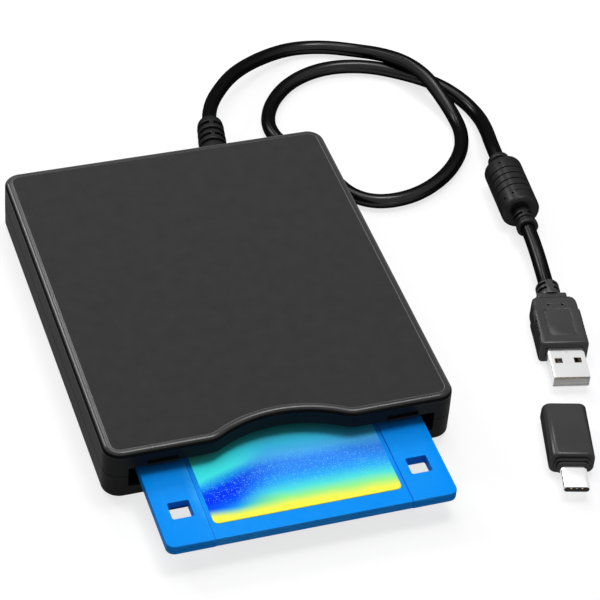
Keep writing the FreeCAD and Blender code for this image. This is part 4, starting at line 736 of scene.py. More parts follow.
def buildTopCover():
    # The outline runs from the panel, round the line and the rim, down the wall and up inside.
    parting, top, wall = case["parting"], case["top"], case["wall"]
    line, width, deep, slope = case["line"]
    seam, seamHigh = case["seam"]
    lap, lapHigh = case["upperLap"]
    profile = [(line + width + slope, top), (line + width, top - deep), (line, top - deep),
               (line - slope, top)]
    profile += reversed(quarter(case["rim"], case["edgeSteps"][0], case["draft"], top - case["rim"]))
    profile += [(0.0, parting + seamHigh), (seam, parting), (lap, parting), (lap, parting + lapHigh),
                (wall, parting + lapHigh), (wall, top - wall)]
    rings = caseRings(profile)
    cover = buildPiece("topCover", *loft(rings), finishes["case_plastic"])
    cover.data.materials.append(finishes["topPanel"])
    cover.data.materials.append(finishes["panelLineHighlight"])
    count = len(rings[0])
    # The groove round the panel takes the light grey of a painted highlight.
    for face in cover.data.polygons[:3 * count]:
        face.material_index = 2
    cover.data.polygons[(len(rings) - 1) * count].material_index = 1
    carve(cover, slotTool(), *notchTools(), cordHoleTool())
    bevelNear(cover, case["openingEdge"], nearOpening)
    standFor(joinPieces("topCover", [cover] + [buildLip(side) for side in (-1, 1)]), "top_cover")


def buildBottomCover():
    parting, foot, wall, base = case["parting"], case["foot"], case["wall"], case["base"]
    seam, seamHigh = case["seam"]
    lap, lapHigh = case["lowerLap"]
    turned = quarter(base, case["edgeSteps"][1], case["draft"] / 2, foot)
    profile = [(inset, foot + base - (height - foot)) for inset, height in reversed(turned)]
    profile += [(0.0, parting - seamHigh), (seam, parting), (lap, parting), (lap, parting + lapHigh),
                (wall, parting + lapHigh), (wall, foot + wall)]
    cover = buildPiece("bottomCover", *loft(caseRings(profile)), finishes["case_plastic"])
    buttonX, buttonWide, buttonLow, above, corner = case["button"]
    lampX, lampZ, lampRadius = case["lamp"]
    lamp = lathe([(caseFront - beyond, lampRadius), (caseFront + wall + beyond, lampRadius)], steps=24)
    footRadius, footDeep = case["footSeat"]
    headRadius, headDeep, holeRadius = case["screwSeat"]
    low = foot - beyond
    carve(cover, slotTool(), cordHoleTool(),
          frontTool(buttonX, buttonWide, buttonLow, case["slot"][1] + above, corner, wall + beyond),
          shifted(lamp, (lampX, 0, lampZ)),
          mergeParts([disc(*place, footRadius, low, foot + footDeep) for place in case["feet"]]),
          mergeParts([disc(*place, headRadius, low, foot + headDeep) for place in case["screws"]]),
          mergeParts([disc(*place, holeRadius, low, foot + wall + beyond, steps=20)
                      for place in case["screws"]]))
    bevelNear(cover, case["openingEdge"],
              lambda spot: nearOpening(spot) or abs(spot.z - foot) < case["nearFoot"])
    standFor(cover, "bottom_cover")


buildTopCover()
buildBottomCover()
print("case covers built")


# Disk
disk = {
    "low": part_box("disk_lower_shell")[0].z / mm,
    "mid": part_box("disk_lower_shell")[1].z / mm,
    "top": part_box("disk_upper_shell")[1].z / mm,
    "halfWidth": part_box("disk_upper_shell")[1].x / mm,
    "front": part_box("disk_upper_shell")[0].y / mm,
    "rear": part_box("disk_upper_shell")[1].y / mm,
    "corner": 2.7,
    "edge": 0.42,
    "seam": (0.07, 0.08),  # depth, height
    "hole": (37.2, 14.05, 6.6, 0.6),  # from the middle, from the front, side, corner
    "recess": (30.6, 0.3, 0.1),  # half width, depth, play behind the label
    "groove": (0.2, 0.65),  # width, depth
    "label": (29.2, 6.1, 54.0, 1.7),  # half width, from the front, length, corner
    "labelEdge": (0.05, 0.6),  # inset, and where it starts as a share of the thickness
    "hubFromRear": 45.2,
    "chamber": (43.3, 1.0, 2.5),  # radius, floor, ceiling
    "hubOpening": 13.3,
    "window": (9.0, 22.5, 41.3),  # width, near and far from the hub
    "shutter": (-24.9, 18.3, 31.3, 0.42),  # left, right, length and depth of its recess
    "tab": (6.3, 0.7, 0.5),  # reach, depth, overlap with the hole
    "bevel": 0.1,
    "bevelled": (0.35, 0.5, 20.0),  # near a face, near the front, and at the holes this far back
}
hubY = disk["rear"] - disk["hubFromRear"]


def diskRings(profile):
    width, depth = 2 * disk["halfWidth"], disk["rear"] - disk["front"]
    middle = (0.0, (disk["rear"] + disk["front"]) / 2)
    return [ringAt(roundedRectangle(width - 2 * inset, depth - 2 * inset, disk["corner"] - inset, middle), z)
            for inset, z in profile]


def diskEdge(face, outward):
    # Profile from the split to the face, with a hairline at the split and a rounded edge.
    edge, mid = disk["edge"], disk["mid"]
    seam, seamHigh = disk["seam"]
    rounded = [(edge * (1 - cos(t)), face - outward * edge * (1 - sin(t))) for t in quarterTurns(5)]
    return [(seam, mid), (0.0, mid + outward * seamHigh)] + rounded


def diskCutters(low, high):
    # What both shells lose: the square holes, the step at the label end, the shutter's seat over the
    # rear edge, and the chamber of the magnetic disk.
    holeX, holeY, side, radius = disk["hole"]
    half, step, _ = disk["recess"]
    front, rear = disk["front"], disk["rear"]
    chamber, floor, ceiling = disk["chamber"]
    left, right, _, deep = disk["shutter"]
    holes = [roundedRectangle(side, side, radius, (s * holeX, front + holeY), steps=4) for s in (-1, 1)]
    return [prism(outline, disk["low"] - beyond, disk["top"] + beyond) for outline in holes] + [
        box((-half, half), (front - beyond, front + step), (low - beyond, high + beyond)),
        box((left, right), (rear - deep, rear + beyond), (low - beyond, high + beyond)),
        disc(0, hubY, chamber, disk["low"] + floor, disk["low"] + ceiling, steps=96)]


def windowTool(low, high):
    # The opening for the heads.
    width, near, far = disk["window"]
    return box(span(0, width), (hubY + near, hubY + far), (low, high))


def finishShell(shell, node):
    # Rounds the edges of the faces, of the label end and of the square holes.
    holeX, _, side, _ = disk["hole"]
    nearFace, nearFront, holesEnd = disk["bevelled"]

    def onFaces(spot):
        atFace = min(abs(spot.z - disk["low"]), abs(spot.z - disk["top"])) < nearFace
        atHoles = abs(abs(spot.x) - holeX) < side and spot.y < disk["front"] + holesEnd
        return atFace or spot.y < disk["front"] + nearFront or atHoles

    bevelNear(shell, disk["bevel"], onFaces)
    standFor(shell, node)


def buildUpperShell():
    front, rear, mid, top = (disk[key] for key in ("front", "rear", "mid", "top"))
    half, step, play = disk["recess"]
    left, right, length, deep = disk["shutter"]
    _, labelInset, labelLength, _ = disk["label"]
    recessYs = (front - beyond, front + labelInset + labelLength + play)
    grooveWide, grooveDeep = disk["groove"]
    grooves = [box(span(s * half, grooveWide), recessYs, (top - grooveDeep, top + beyond)) for s in (-1, 1)]
    shell = buildPiece("diskUpperShell", *loft(diskRings(diskEdge(top, 1))), finishes["disk_blue"])
    carve(shell, *diskCutters(mid, top), windowTool(mid, top + beyond),
          box((left, right), (rear - length, rear + beyond), (top - deep, top + beyond)),
          box((-half, half), recessYs, (top - step, top + beyond)),
          mergeParts(grooves))
    finishShell(shell, "disk_upper_shell")


def buildLowerShell():
    front, rear, low, mid = (disk[key] for key in ("front", "rear", "low", "mid"))
    left, right, length, deep = disk["shutter"]
    holeX, holeY, side, _ = disk["hole"]
    reach, tabDeep, overlap = disk["tab"]
    tabRear = front + holeY + side / 2
    shell = buildPiece("diskLowerShell", *loft(diskRings(diskEdge(low, -1))), finishes["disk_blue"])
    carve(shell, *diskCutters(low, mid), windowTool(low - beyond, mid),
          disc(0, hubY, disk["hubOpening"], low - beyond, mid, steps=64),
          box((left, right), (rear - length, rear + beyond), (low - beyond, low + deep)),
          box(span(-holeX, side), (tabRear - overlap, tabRear + reach), (low - beyond, low + tabDeep)))
    finishShell(shell, "disk_lower_shell")


# Places on the foil run across from the middle, and along from the front edge of the print.
foil = {
    "front": -0.0926,
    "reach": 0.034,
    "halfWidth": 0.0292,
    "drift": (60.0, 0.08),  # scale, reach
    "lean": (0.9, 0.33),  # pivot, slope of the sweep
    "sweep": (-0.15, 1.05),  # start and end of the swept colours
    "fade": (-0.72, -0.08),  # across, from swept to plain
    "foot": (0.06, 0.17),  # along, from plain to swept
    "plain": [(0.0, (0.96, 0.95, 0.07)), (0.07, (0.93, 0.95, 0.10)), (0.15, (0.32, 0.93, 0.28)),
              (0.24, (0.08, 0.78, 0.76)), (0.35, (0.03, 0.43, 0.95)), (0.45, (0.028, 0.27, 0.95)),
              (0.56, (0.04, 0.26, 0.95)), (0.67, (0.08, 0.48, 0.98)), (0.80, (0.05, 0.58, 0.90)),
              (1.0, (0.05, 0.55, 0.55))],
    "swept": [(0.0, (0.10, 0.85, 0.30)), (0.10, (0.05, 0.70, 0.45)), (0.18, (0.02, 0.42, 0.85)),
              (0.26, (0.002, 0.11, 0.95)), (0.34, (0.001, 0.03, 0.95)), (0.43, (0.001, 0.06, 0.95)),
              (0.50, (0.015, 0.40, 0.98)), (0.57, (0.06, 0.97, 1.0)), (0.70, (0.05, 0.95, 0.98)),
              (0.82, (0.10, 0.78, 0.60)), (1.0, (0.2, 0.66, 0.25))],
    "specks": (2900.0, 0.34, 0.7, 0.7),  # scale, size, share left out, strength
    "speckTint": (0.25, 0.85, 1.0, 1),
    "dusted": (0.16, 0.3, 0.62, 0.8),  # along: first, full, thinner, gone
    "roughness": 0.4,
    "gloss": 0.06,
}


def printSparkle(tree, place, along):
    # Light specks by chance, thick in the middle of the print and thin towards its ends.
    math, step = partial(addMath, tree), partial(addRange, tree)
    scale, size, chance, strength = foil["specks"]
    near, full, thin, gone = foil["dusted"]
    specks = addNode(tree, "ShaderNodeTexVoronoi", {"Vector": place, "Scale": scale}).outputs
    pick = addNode(tree, "ShaderNodeTexWhiteNoise", {"Vector": specks["Color"]}).outputs[0]
    small, picked = math("LESS_THAN", specks["Distance"], size), math("GREATER_THAN", pick, chance)
    dusted = math("MULTIPLY", step(along, near, full), math("SUBTRACT", 1.0, step(along, thin, gone)))
    return math("MULTIPLY", math("MULTIPLY", small, picked), math("MULTIPLY", dusted, strength))


def labelPrint():
    # Printed foil: a yellow foot, green and cyan over it, a blue band that sweeps up from one side,
    # and a fine sparkle in the blue.
    material, tree, shader = newMaterial("labelFoil")
    math, step = partial(addMath, tree), partial(addRange, tree)
    place = objectPlace(tree)
    x, y, _ = splitPlace(tree, place)
    driftScale, driftReach = foil["drift"]
    sway = math("MULTIPLY", math("SUBTRACT", addNoise(tree, place, driftScale), 0.5), driftReach)
    across = math("MULTIPLY", x, 1 / foil["halfWidth"])
    along = math("MULTIPLY", math("SUBTRACT", y, foil["front"]), 1 / foil["reach"])
    along = math("ADD", along, sway)
    pivot, lean = foil["lean"]
    low, high = foil["sweep"]
    risen = math("SUBTRACT", along, math("MULTIPLY", math("ADD", across, pivot), lean))
    risen = math("MULTIPLY", math("SUBTRACT", risen, low), 1 / (high - low))
    share = math("SUBTRACT", 1.0, step(across, *foil["fade"]))
    share = math("MULTIPLY", share, step(along, *foil["foot"]))
    plain, swept = addRamp(tree, along, foil["plain"]), addRamp(tree, risen, foil["swept"])
    tint = addMix(tree, share, plain, swept)
    tint = addMix(tree, printSparkle(tree, place, along), tint, foil["speckTint"])
    feed(tree, shader, {"Base Color": tint, "Roughness": foil["roughness"], "Specular IOR Level": 0.0,
                        "Coat Weight": foil["gloss"]})
    return material


def buildLabel():
    half, inset, length, corner = disk["label"]
    middle = (0.0, disk["front"] + inset + length / 2)
    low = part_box("disk_label")[0].z / mm
    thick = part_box("disk_label")[1].z / mm - low
    edge, straight = disk["labelEdge"]
    rings = [ringAt(roundedRectangle(2 * (half - shrink), length - 2 * shrink, corner - shrink, middle), z)
             for shrink, z in ((0.0, low), (0.0, low + thick * straight), (edge, low + thick))]
    label = buildPiece("diskLabel", *loft(rings), labelPrint())
    shadeSmooth(label)
    standFor(label, "disk_label")


buildUpperShell()
buildLowerShell()
buildLabel()
print("disk built")


# Strain relief
relief = {
    "radius": 5.1,
    "tip": 4.5,
    "slots": (5, 3.55, 3.25, 1.3),  # count, first, pitch, width
    "deep": 1.25,
    "lipped": (0.25, 0.2, 0.12),  # flare, sunk edge and slope of a groove
    "plain": 0.5,
    "bridge": 9.0,
    "dome": (2.6, 0.35),  # length, play round the cord
    "bend": 6.0,
    "edge": 0.2,
}


def reliefProfile():
    # A cone with a plain groove at every second place, and a domed end round the cord.
    radius, tip, long = relief["radius"], relief["tip"], cordRun["reliefReach"] / mm
    count, first, pitch, width = relief["slots"]
    flare, sunk, slope = relief["lipped"]
    dome, play = relief["dome"]
    profile = [(0.0, radius)]
    for place in range(count):
        start = first + pitch * place
        end = start + width
        here = radius + (tip - radius) * start / long
        floor = here - relief["deep"]
        if place % 2:
            profile += [(start - flare, here), (start, here - sunk), (start + slope, floor),
                        (end - slope, floor), (end, here - sunk), (end + flare, here)]
        else:
            profile += [(start - relief["plain"], here), (end + relief["plain"], here)]
    bore = cordRadius + play
    return profile + [(long - dome + dome * sin(t), bore + (tip - bore) * cos(t)) for t in quarterTurns(7)]


def buildRelief():
    # The slots between the grooves go through, but for a bridge on either side. Near the wall the
    # whole piece turns to the cord's heading.
    *origin, yaw = cordRun["relief"]
    count, first, pitch, width = relief["slots"]
    sleeve = buildPiece("strainRelief", *lathe(reliefProfile(), steps=64), finishes["sleeveRubber"])
    for place in range(2, count, 2):
        carve(sleeve, *splitGroove(first + pitch * place, width, relief["tip"] - relief["deep"],
                                   relief["radius"] + beyond, relief["bridge"]))
    soften(sleeve, relief["edge"], segments=3)
    bendEnd = relief["bend"] * mm
    for vert in sleeve.data.vertices:
        lean = yaw * min(1.0, max(0.0, vert.co.y / bendEnd))
        vert.co = onHeading([vert.co], origin, lean)[0]
    standFor(sleeve, "strain_relief")


# Ferrite sleeve
ferrite = {
    "radius": 6.6,
    "half": 11.95,
    "round": 1.5,
    "groove": (3.1, -0.8, 0.4, 0.26),  # pitch, shift, depth, half width
    "lastGroove": (-14.0, 52.0),  # from angle to angle
    "ring": (3.7, 2.1, 0.5),  # radius, width, edge
    "neck": 3.05,
    "rear": 5.1,
    "boot": 8.1,
    "band": (3.5, 1.7, 4.7, 0.1, 0.15),  # radius, near, far, edge inwards and along
    "slot": (2.6, 1.2, 15.0, 0.3),  # from the sleeve, width, bridge in degrees, depth
    "bore": (2.53, 2.2),  # radius, depth
    "dots": [(8.3, -24.0), (8.3, 62.0), (-7.9, -24.0), (-7.9, 44.0), (-8.2, -52.0)],  # along, angle
    "dot": (0.42, 0.7),  # radius, depth
}


def ringProfile(low, high, radius, edge):
    # The rounded outline of a ring, from one end to the other.
    turns = quarterTurns(4)
    up = [(low + edge * (1 - sin(t)), radius - edge * (1 - cos(t))) for t in reversed(turns)]
    return up + [(high - edge * (1 - sin(t)), radius - edge * (1 - cos(t))) for t in turns]


def ferriteProfile():
    # From the bore at the plug's end over a ring, the neck, a band and the grooved sleeve to a ring.
    radius, half, edge, neck = (ferrite[key] for key in ("radius", "half", "round", "neck"))
    pitch, shift, depth, wide = ferrite["groove"]
    ringRadius, ringWide, ringEdge = ferrite["ring"]
    boreRadius, boreDeep = ferrite["bore"]
    bandRadius, bandNear, bandFar, slope, edgeLong = ferrite["band"]
    bootEnd, rearEnd = -half - ferrite["boot"], half + ferrite["rear"]
    near, far = -half - bandNear, -half - bandFar
    turns = quarterTurns(6)
    profile = [(bootEnd + boreDeep, boreRadius), (bootEnd, boreRadius)]
    profile += ringProfile(bootEnd, bootEnd + ringWide, ringRadius, ringEdge) + [(bootEnd + ringWide, neck)]
    profile += [(far - slope, neck), (far, bandRadius - slope), (far + edgeLong, bandRadius),
                (near - edgeLong, bandRadius), (near, bandRadius - slope), (near + slope, neck),
                (-half, neck)]
    profile += [(-half + edge * (1 - cos(t)), radius - edge * (1 - sin(t))) for t in turns]
    for place in range(-1, 3):
        middle = pitch * place + shift
        profile += [(middle - wide, radius), (middle - wide * 0.5, radius - depth),
                    (middle + wide * 0.5, radius - depth), (middle + wide, radius)]
    profile += [(half - edge * (1 - cos(t)), radius - edge * (1 - sin(t))) for t in reversed(turns)]
    profile += [(half, neck), (rearEnd - ringWide, neck)]
    return profile + ringProfile(rearEnd - ringWide, rearEnd, ringRadius, ringEdge) + [(rearEnd, neck)]


def dotTool(along, angle):
    # A small round hole into the sleeve, at a place along it and an angle round it.
    size, deep = ferrite["dot"]
    turn = radians(angle)
    out, side = Vector((sin(turn), 0, cos(turn))), Vector((cos(turn), 0, -sin(turn)))
    hole = arc((0, 0), size, 0, 330, 11)
    return loft([[tuple(out * reach + side * a + Vector((0, along + b, 0))) for a, b in hole]
                 for reach in (ferrite["radius"] - deep, ferrite["radius"] + beyond / 2)])


def buildFerrite():
    *origin, yaw = cordRun["ferrite"]
    radius, neck = ferrite["radius"], ferrite["neck"]
    pitch, shift, depth, wide = ferrite["groove"]
    slotNear, slotWide, bridge, slotDeep = ferrite["slot"]
    slotStart = -ferrite["half"] - slotNear - slotWide
    lastStart = -2 * pitch + shift - wide / 2
    sleeve = buildPiece("ferriteSleeve", *lathe(ferriteProfile(), steps=72), finishes["sleeveRubber"])
    carve(sleeve, *splitGroove(slotStart, slotWide, neck - slotDeep, ferrite["band"][0] + beyond, bridge),
          arcGroove(lastStart, wide, radius - depth, radius + beyond, *ferrite["lastGroove"]),
          mergeParts([dotTool(*dot) for dot in ferrite["dots"]]))
    shadeSmooth(sleeve)
    for vert in sleeve.data.vertices:
        vert.co = onHeading([vert.co], origin, yaw)[0]
    standFor(sleeve, "ferrite_cover")


buildRelief()
buildFerrite()
print("relief and ferrite sleeve built")


# Trees that repeat a part
def newTree(name, inputs):
    return newGroup(name, "GeometryNodeTree", [
        ("Geometry", "NodeSocketGeometry", None), ("Finish", "NodeSocketMaterial", None)] + inputs,
        [("Geometry", "NodeSocketGeometry")])


def closeTree(tree, given, result, instances):
    # Realised copies with the finish set, as the last step of every tree.
    real = addNode(tree, "GeometryNodeRealizeInstances", {0: instances}).outputs[0]
    dressed = addNode(tree, "GeometryNodeSetMaterial", {"Geometry": real, "Material": given["Finish"]})
    feed(tree, result, {0: dressed.outputs[0]})
    return tree


def copyPart(tree, given, points, inputs=None):
    part = addNode(tree, "GeometryNodeObjectInfo", {"Object": given["Part"]}).outputs["Geometry"]
    copies = {"Points": points, "Instance": part, **(inputs or {})}
    return addNode(tree, "GeometryNodeInstanceOnPoints", copies).outputs[0]


def rowTree():
    # Copies of a part in a straight row.
    tree, given, result = newTree("rowOfParts", [
        ("Part", "NodeSocketObject", None), ("Count", "NodeSocketInt", 5),
        ("Start", "NodeSocketVector", (0, 0, 0)), ("Pitch", "NodeSocketVector", (0, 0.002, 0))])
    inputs = {"Count": given["Count"], "Start Location": given["Start"], "Offset": given["Pitch"]}
    line = addNode(tree, "GeometryNodeMeshLine", inputs, mode="OFFSET")
    return closeTree(tree, given, result, copyPart(tree, given, line.outputs[0]))


def spotTree():
    # Copies of a part on the host's points, each turned a little by chance from a fixed seed.
    tree, given, result = newTree("partsOnSpots", [
        ("Part", "NodeSocketObject", None), ("Turn", "NodeSocketFloat", 0.0),
        ("Seed", "NodeSocketInt", 4)])
    chance = addNode(tree, "FunctionNodeRandomValue", {3: given["Turn"], "Seed": given["Seed"]}).outputs[1]
    turned = addNode(tree, "ShaderNodeCombineXYZ", {"Z": chance}).outputs[0]
    return closeTree(tree, given, result, copyPart(tree, given, given["Geometry"], {"Rotation": turned}))


def ringTree():
    # Copies of a part evenly round a circle, each facing out.
    tree, given, result = newTree("ringOfParts", [
        ("Part", "NodeSocketObject", None), ("Count", "NodeSocketInt", 9),
        ("Radius", "NodeSocketFloat", 0.009)])
    inputs = {"Vertices": given["Count"], "Radius": given["Radius"]}
    circle = addNode(tree, "GeometryNodeMeshCircle", inputs)
    place = addNode(tree, "GeometryNodeInputPosition").outputs[0]
    outward = addNode(tree, "FunctionNodeAlignRotationToVector", {"Vector": place}, axis="X").outputs[0]
    return closeTree(tree, given, result, copyPart(tree, given, circle.outputs[0], {"Rotation": outward}))


rowOfParts, partsOnSpots, ringOfParts = rowTree(), spotTree(), ringTree()


def growPiece(name, tree, values, points=((0, 0, 0),)):
    # A host for a tree; its inputs are set by identifier, then the result becomes a plain mesh.
    host = buildPiece(name, points, [])
    modifier = host.modifiers.new("parts", "NODES")
    modifier.node_group = tree
    for item in tree.interface.items_tree:
        if item.in_out == "INPUT" and item.name in values:
            modifier[item.identifier] = values[item.name]
    freeze(host)
    if "Part" in values:
        bpy.data.objects.remove(values["Part"], do_unlink=True)
    return host


# Plug
plug = {
    "barrel": (3.9, 6.3),  # radius, length
    "barrelEnd": [(-0.7, 0.0), (-0.3, 0.2), (-0.05, 0.6)],  # along, inset
    "bore": (2.53, 2.2, 0.3, 0.1),  # radius, depth, width and depth of its edge
    "barrelSlots": ((-2.42, -4.62), 1.1, 0.9, 18.0),  # starts, width, depth, bridge in degrees
    "collar": (4.9, 3.3, 2.5, 0.5),  # half width, half thickness, length, edge
    "overlap": 0.5,
    "body": (7.9, 4.1, 22.8, 1.25),  # half width, half thickness, length, corner
    "shell": (6.0, 2.25, 13.4, 8.0, 0.3),  # half width, half thickness, length out and in, sheet
    "shellPlay": (0.05, 0.6),  # gap, corner
    "window": (3.1, 5.9, 2.4, 0.12),  # from the middle, from the grip, side, corner
    "mark": (1.7, 0.75, 0.36, 0.14, 0.1, 2.1),  # width, length, corner, line, depth, from the grip
    "ribs": (5, 1.5, 11.2, 0.8, 0.5),  # count, pitch, first, width, depth
    "panel": (8.6, 12.6, 1.2, 0.26, 0.2, 12.6),  # width, length, corner, line, depth, from the rear
    "dots": (2.3, 4.4, 0.42, 0.6),  # from the middle, from the rear, radius, depth
    "edge": 0.12,
}
gripRear = -plug["barrel"][1] - plug["collar"][2]
gripFront = gripRear - plug["body"][2]


def section(halfWidth, halfThick, radius, y, steps=5):
    # A rounded rectangle across the plug at a place along it.
    outline = roundedRectangle(2 * halfWidth, 2 * halfThick, radius, (0.0, 0.0), steps)
    return [(x, y, z) for x, z in outline]


def buildBarrel():
    # The round neck where the cord enters, with slots on both sides.
    radius, length = plug["barrel"]
    boreRadius, boreDeep, edgeWide, edgeDeep = plug["bore"]
    profile = [(-length - plug["overlap"], radius)]
    profile += [(along, radius - inset) for along, inset in plug["barrelEnd"]]
    profile += [(0.0, boreRadius + edgeWide), (-edgeDeep, boreRadius), (-boreDeep, boreRadius)]
    barrel = buildPiece("barrel", *lathe(profile), finishes["boot_black"])
    starts, width, deep, bridge = plug["barrelSlots"]
    for start in starts:
        carve(barrel, *splitGroove(start, width, radius - deep, radius + beyond, bridge))
    return soften(barrel, plug["edge"])


def buildCollar():
    wide, thick, _, edge = plug["collar"]
    solid = box((-wide, wide), (gripRear - plug["overlap"], -plug["barrel"][1]), (-thick, thick))
    return soften(buildPiece("collar", *solid, finishes["boot_black"]), edge, segments=4)


def ribTool(side):
    # A row of bars that cuts the ribs into one side of the grip.
    count, pitch, first, width, deep = plug["ribs"]
    wide, thick = plug["body"][:2]
    bar = buildPiece("ribBar", *box((side * wide - deep, side * wide + deep),
                                    (gripRear - first - width, gripRear - first),
                                    (-thick - beyond, thick + beyond)))
    return growPiece("ribs", rowOfParts, {"Part": bar, "Count": count, "Pitch": (0, -pitch * mm, 0),
                                          "Finish": finishes["boot_black"]})


def buildGripBody():
    # Steps along the body with what its half width and half thickness lose there.
    wide, thick, long, corner = plug["body"]
    steps = [(0.0, -2.2, -0.75), (0.3, -1.5, -0.35), (0.9, -0.95, -0.12), (1.8, -0.6, -0.03),
             (3.0, -0.45, 0.0), (6.2, -0.42, 0.0), (6.5, -0.05, 0.0), (7.0, 0.0, 0.0), (long - 0.9, 0.0, 0.0),
             (long - 0.35, -0.12, -0.12), (long - 0.05, -0.45, -0.45), (long, -0.8, -0.8)]
    rings = [section(wide + across, thick + upward, corner, gripRear - along)
             for along, across, upward in steps]
    body = buildPiece("plugBody", *loft(rings), finishes["boot_black"])
    for side in (-1, 1):
        cutAway(body, ribTool(side))
    panelWide, panelLong, panelCorner, line, deep, panelMiddle = plug["panel"]
    verts, faces = frameGroove(panelWide, panelLong, panelCorner, line, thick - deep, thick + beyond)
    dotX, dotY, dotRadius, dotDeep = plug["dots"]
    shellWide, shellThick, _, root, _ = plug["shell"]
    play, mouthCorner = plug["shellPlay"]
    for side in (1, -1):
        facing = [(x, y, side * z) for x, y, z in verts]
        carve(body, shifted((facing, faces), (0, gripRear - panelMiddle, 0)))
    dots = [disc(s * dotX, gripRear - dotY, dotRadius, thick - dotDeep, thick + beyond, steps=16)
            for s in (-1, 1)]
    mouth = [section(shellWide + play, shellThick + play, mouthCorner, y)
             for y in (gripFront - beyond, gripFront + root)]
    carve(body, mergeParts(dots), loft(mouth))
    return soften(body, plug["edge"], angle=38)


def buildGrip():
    barrel, collar = buildBarrel(), buildCollar()
    grip = joinPieces("plugGrip", [buildGripBody(), barrel, collar])
    turnInto(grip, cordRun["plug"])
    standFor(grip, "plug_grip")


def buildPlugShell():
    # Sheet metal from the root inside the grip to the mouth and back on the inside, in sections of
    # inset, corner and place.
    wide, thick, long, root, sheet = plug["shell"]
    mouth, back = gripFront - long, gripFront + root
    tube = [section(wide - inset, thick - inset, radius, y) for inset, radius, y in (
        (0.0, 0.65, back), (0.0, 0.65, mouth + 0.1), (0.08, 0.6, mouth), (sheet - 0.06, 0.42, mouth),
        (sheet, 0.38, mouth + 0.1), (sheet, 0.38, back))]
    shell = buildPiece("plugShell", *loft(tube, closed=True), finishes["plug_steel"])
    windowX, windowY, side, corner = plug["window"]
    windows = [roundedRectangle(side, side, corner, (s * windowX, gripFront - windowY), steps=3)
               for s in (-1, 1)]
    markWide, markLong, markCorner, line, deep, markY = plug["mark"]
    mark = frameGroove(markWide, markLong, markCorner, line, thick - deep, thick + beyond)
    carve(shell, mergeParts([prism(outline, -thick - beyond, thick + beyond) for outline in windows]),
          shifted(mark, (0, gripFront - markY, 0)))
    shadeSmooth(shell)
    turnInto(shell, cordRun["plug"])
    standFor(shell, "plug_shell")


buildGrip()
buildPlugShell()
print("plug built")


# Adapter
adapter = {
    "seat": (0.0911, -0.0694, 0.0041, 15.0),  # in metres and degrees
    "body": (7.0, 4.1, 22.5, 2.6),  # half width, half thickness, length, corner
    "bodyEdge": 0.08,
    "steps": [(5.6, 2.75, 22.3, 23.6), (5.0, 2.2, 23.5, 24.5)],  # half width, half thickness, start, end
    "stepCorner": (1.7, 1.6, 0.15, 0.2),  # radius, radius at the end, inset and length of its slope
    "socket": (6.5, 2.75, 13.0, 0.4),  # half width, half thickness, depth, corner
    "neck": 2.0,
    "tip": (4.15, 1.25, 8.8, 0.28),  # half width, half thickness, length, sheet
    "padSpots": (-1.7, 0.0, 1.7),
    "pad": (0.3, (0.2, 0.6), (0.1, 0.42), 0.08),  # half width, along from the mouth, heights, edge
}


def buildStep(halfWide, halfThick, start, end):
    # One of the steps that lead from the housing down to the tip.
    corner, endCorner, inset, slope = adapter["stepCorner"]
    rings = [section(halfWide, halfThick, corner, -start, steps=7),
             section(halfWide, halfThick, corner, -end + slope, steps=7),
             section(halfWide - inset, halfThick - inset, endCorner, -end, steps=7)]
    step = buildPiece("step", *loft(rings), finishes["adapterShell"])
    shadeSmooth(step)
    return step


def buildHousing():
    wide, thick, long, corner = adapter["body"]
    sizes = [(0.0, -0.3), (0.12, -0.12), (0.4, 0.0), (long - 1.0, 0.0), (long - 0.45, -0.1),
             (long - 0.12, -0.35), (long, -0.7)]
    rings = [section(wide + grown, thick + grown, corner + grown, -along, steps=8) for along, grown in sizes]
    body = buildPiece("adapterBody", *loft(rings), finishes["adapterShell"])
    socketWide, socketThick, deep, socketCorner = adapter["socket"]
    carve(body, loft([section(socketWide, socketThick, socketCorner, y) for y in (-deep, beyond)]))
    soften(body, adapter["bodyEdge"])
    housing = joinPieces("adapterHousing", [body] + [buildStep(*step) for step in adapter["steps"]])
    turnInto(housing, adapter["seat"])
    standFor(housing, "adapter_housing")


def buildTip():
    # The rounded shell, a dark liner inside and pads at the mouth.
    wide, thick, long, sheet = adapter["tip"]
    neck = adapter["neck"]
    back = -adapter["body"][2] - neck / 2
    mouth = -adapter["body"][2] - neck - long

    def ring(shrink, y, corner=0.01):
        return section(wide - shrink, thick - shrink, thick - shrink - corner, y, steps=9)

    tube = [ring(shrink, y) for shrink, y in (
        (0, back), (0, mouth + 0.22), (0.05, mouth + 0.06), (0.14, mouth), (sheet, mouth + 0.05),
        (sheet + 0.04, mouth + 0.2), (sheet + 0.04, back))]
    shell = buildPiece("adapterTip", *loft(tube, closed=True), finishes["plug_steel"])
    liner = buildPiece("tipLiner", *loft([ring(sheet, y, 0.02) for y in (back, mouth + 0.35)]),
                       finishes["acetal_black"])
    shadeSmooth(shell, 50)
    shadeSmooth(liner)
    halfPad, padAlong, padHeights, padEdge = adapter["pad"]
    pads = []
    for spot in adapter["padSpots"]:
        solid = box((spot - halfPad, spot + halfPad), [mouth + along for along in padAlong], padHeights)
        pad = buildPiece("pad", *solid, finishes["contact_gold" if spot else "plug_tongue_white"])
        pads.append(soften(pad, padEdge))
    tip = joinPieces("adapterTip", [shell, liner] + pads)
    turnInto(tip, adapter["seat"])
    standFor(tip, "adapter_tip")


buildHousing()
buildTip()
print("adapter built")


# Feet and screws: profiles of (height, radius)
small = {
    "foot": [(0.0, 3.6), (0.08, 4.1), (0.3, 4.35), (1.3, 4.35)],
    "footTurn": 0.4,
    "screwHead": [(0.0, 1.15), (0.12, 1.6), (0.35, 1.85), (0.85, 1.9), (0.86, 1.0), (3.3, 1.0), (3.5, 0.7)],
    "screwEdge": 0.04,
    "screwTurn": (1.5, 7),  # most turn in radians, seed
    "cross": (0.38, 2.0, 0.45),  # width, length, depth
}


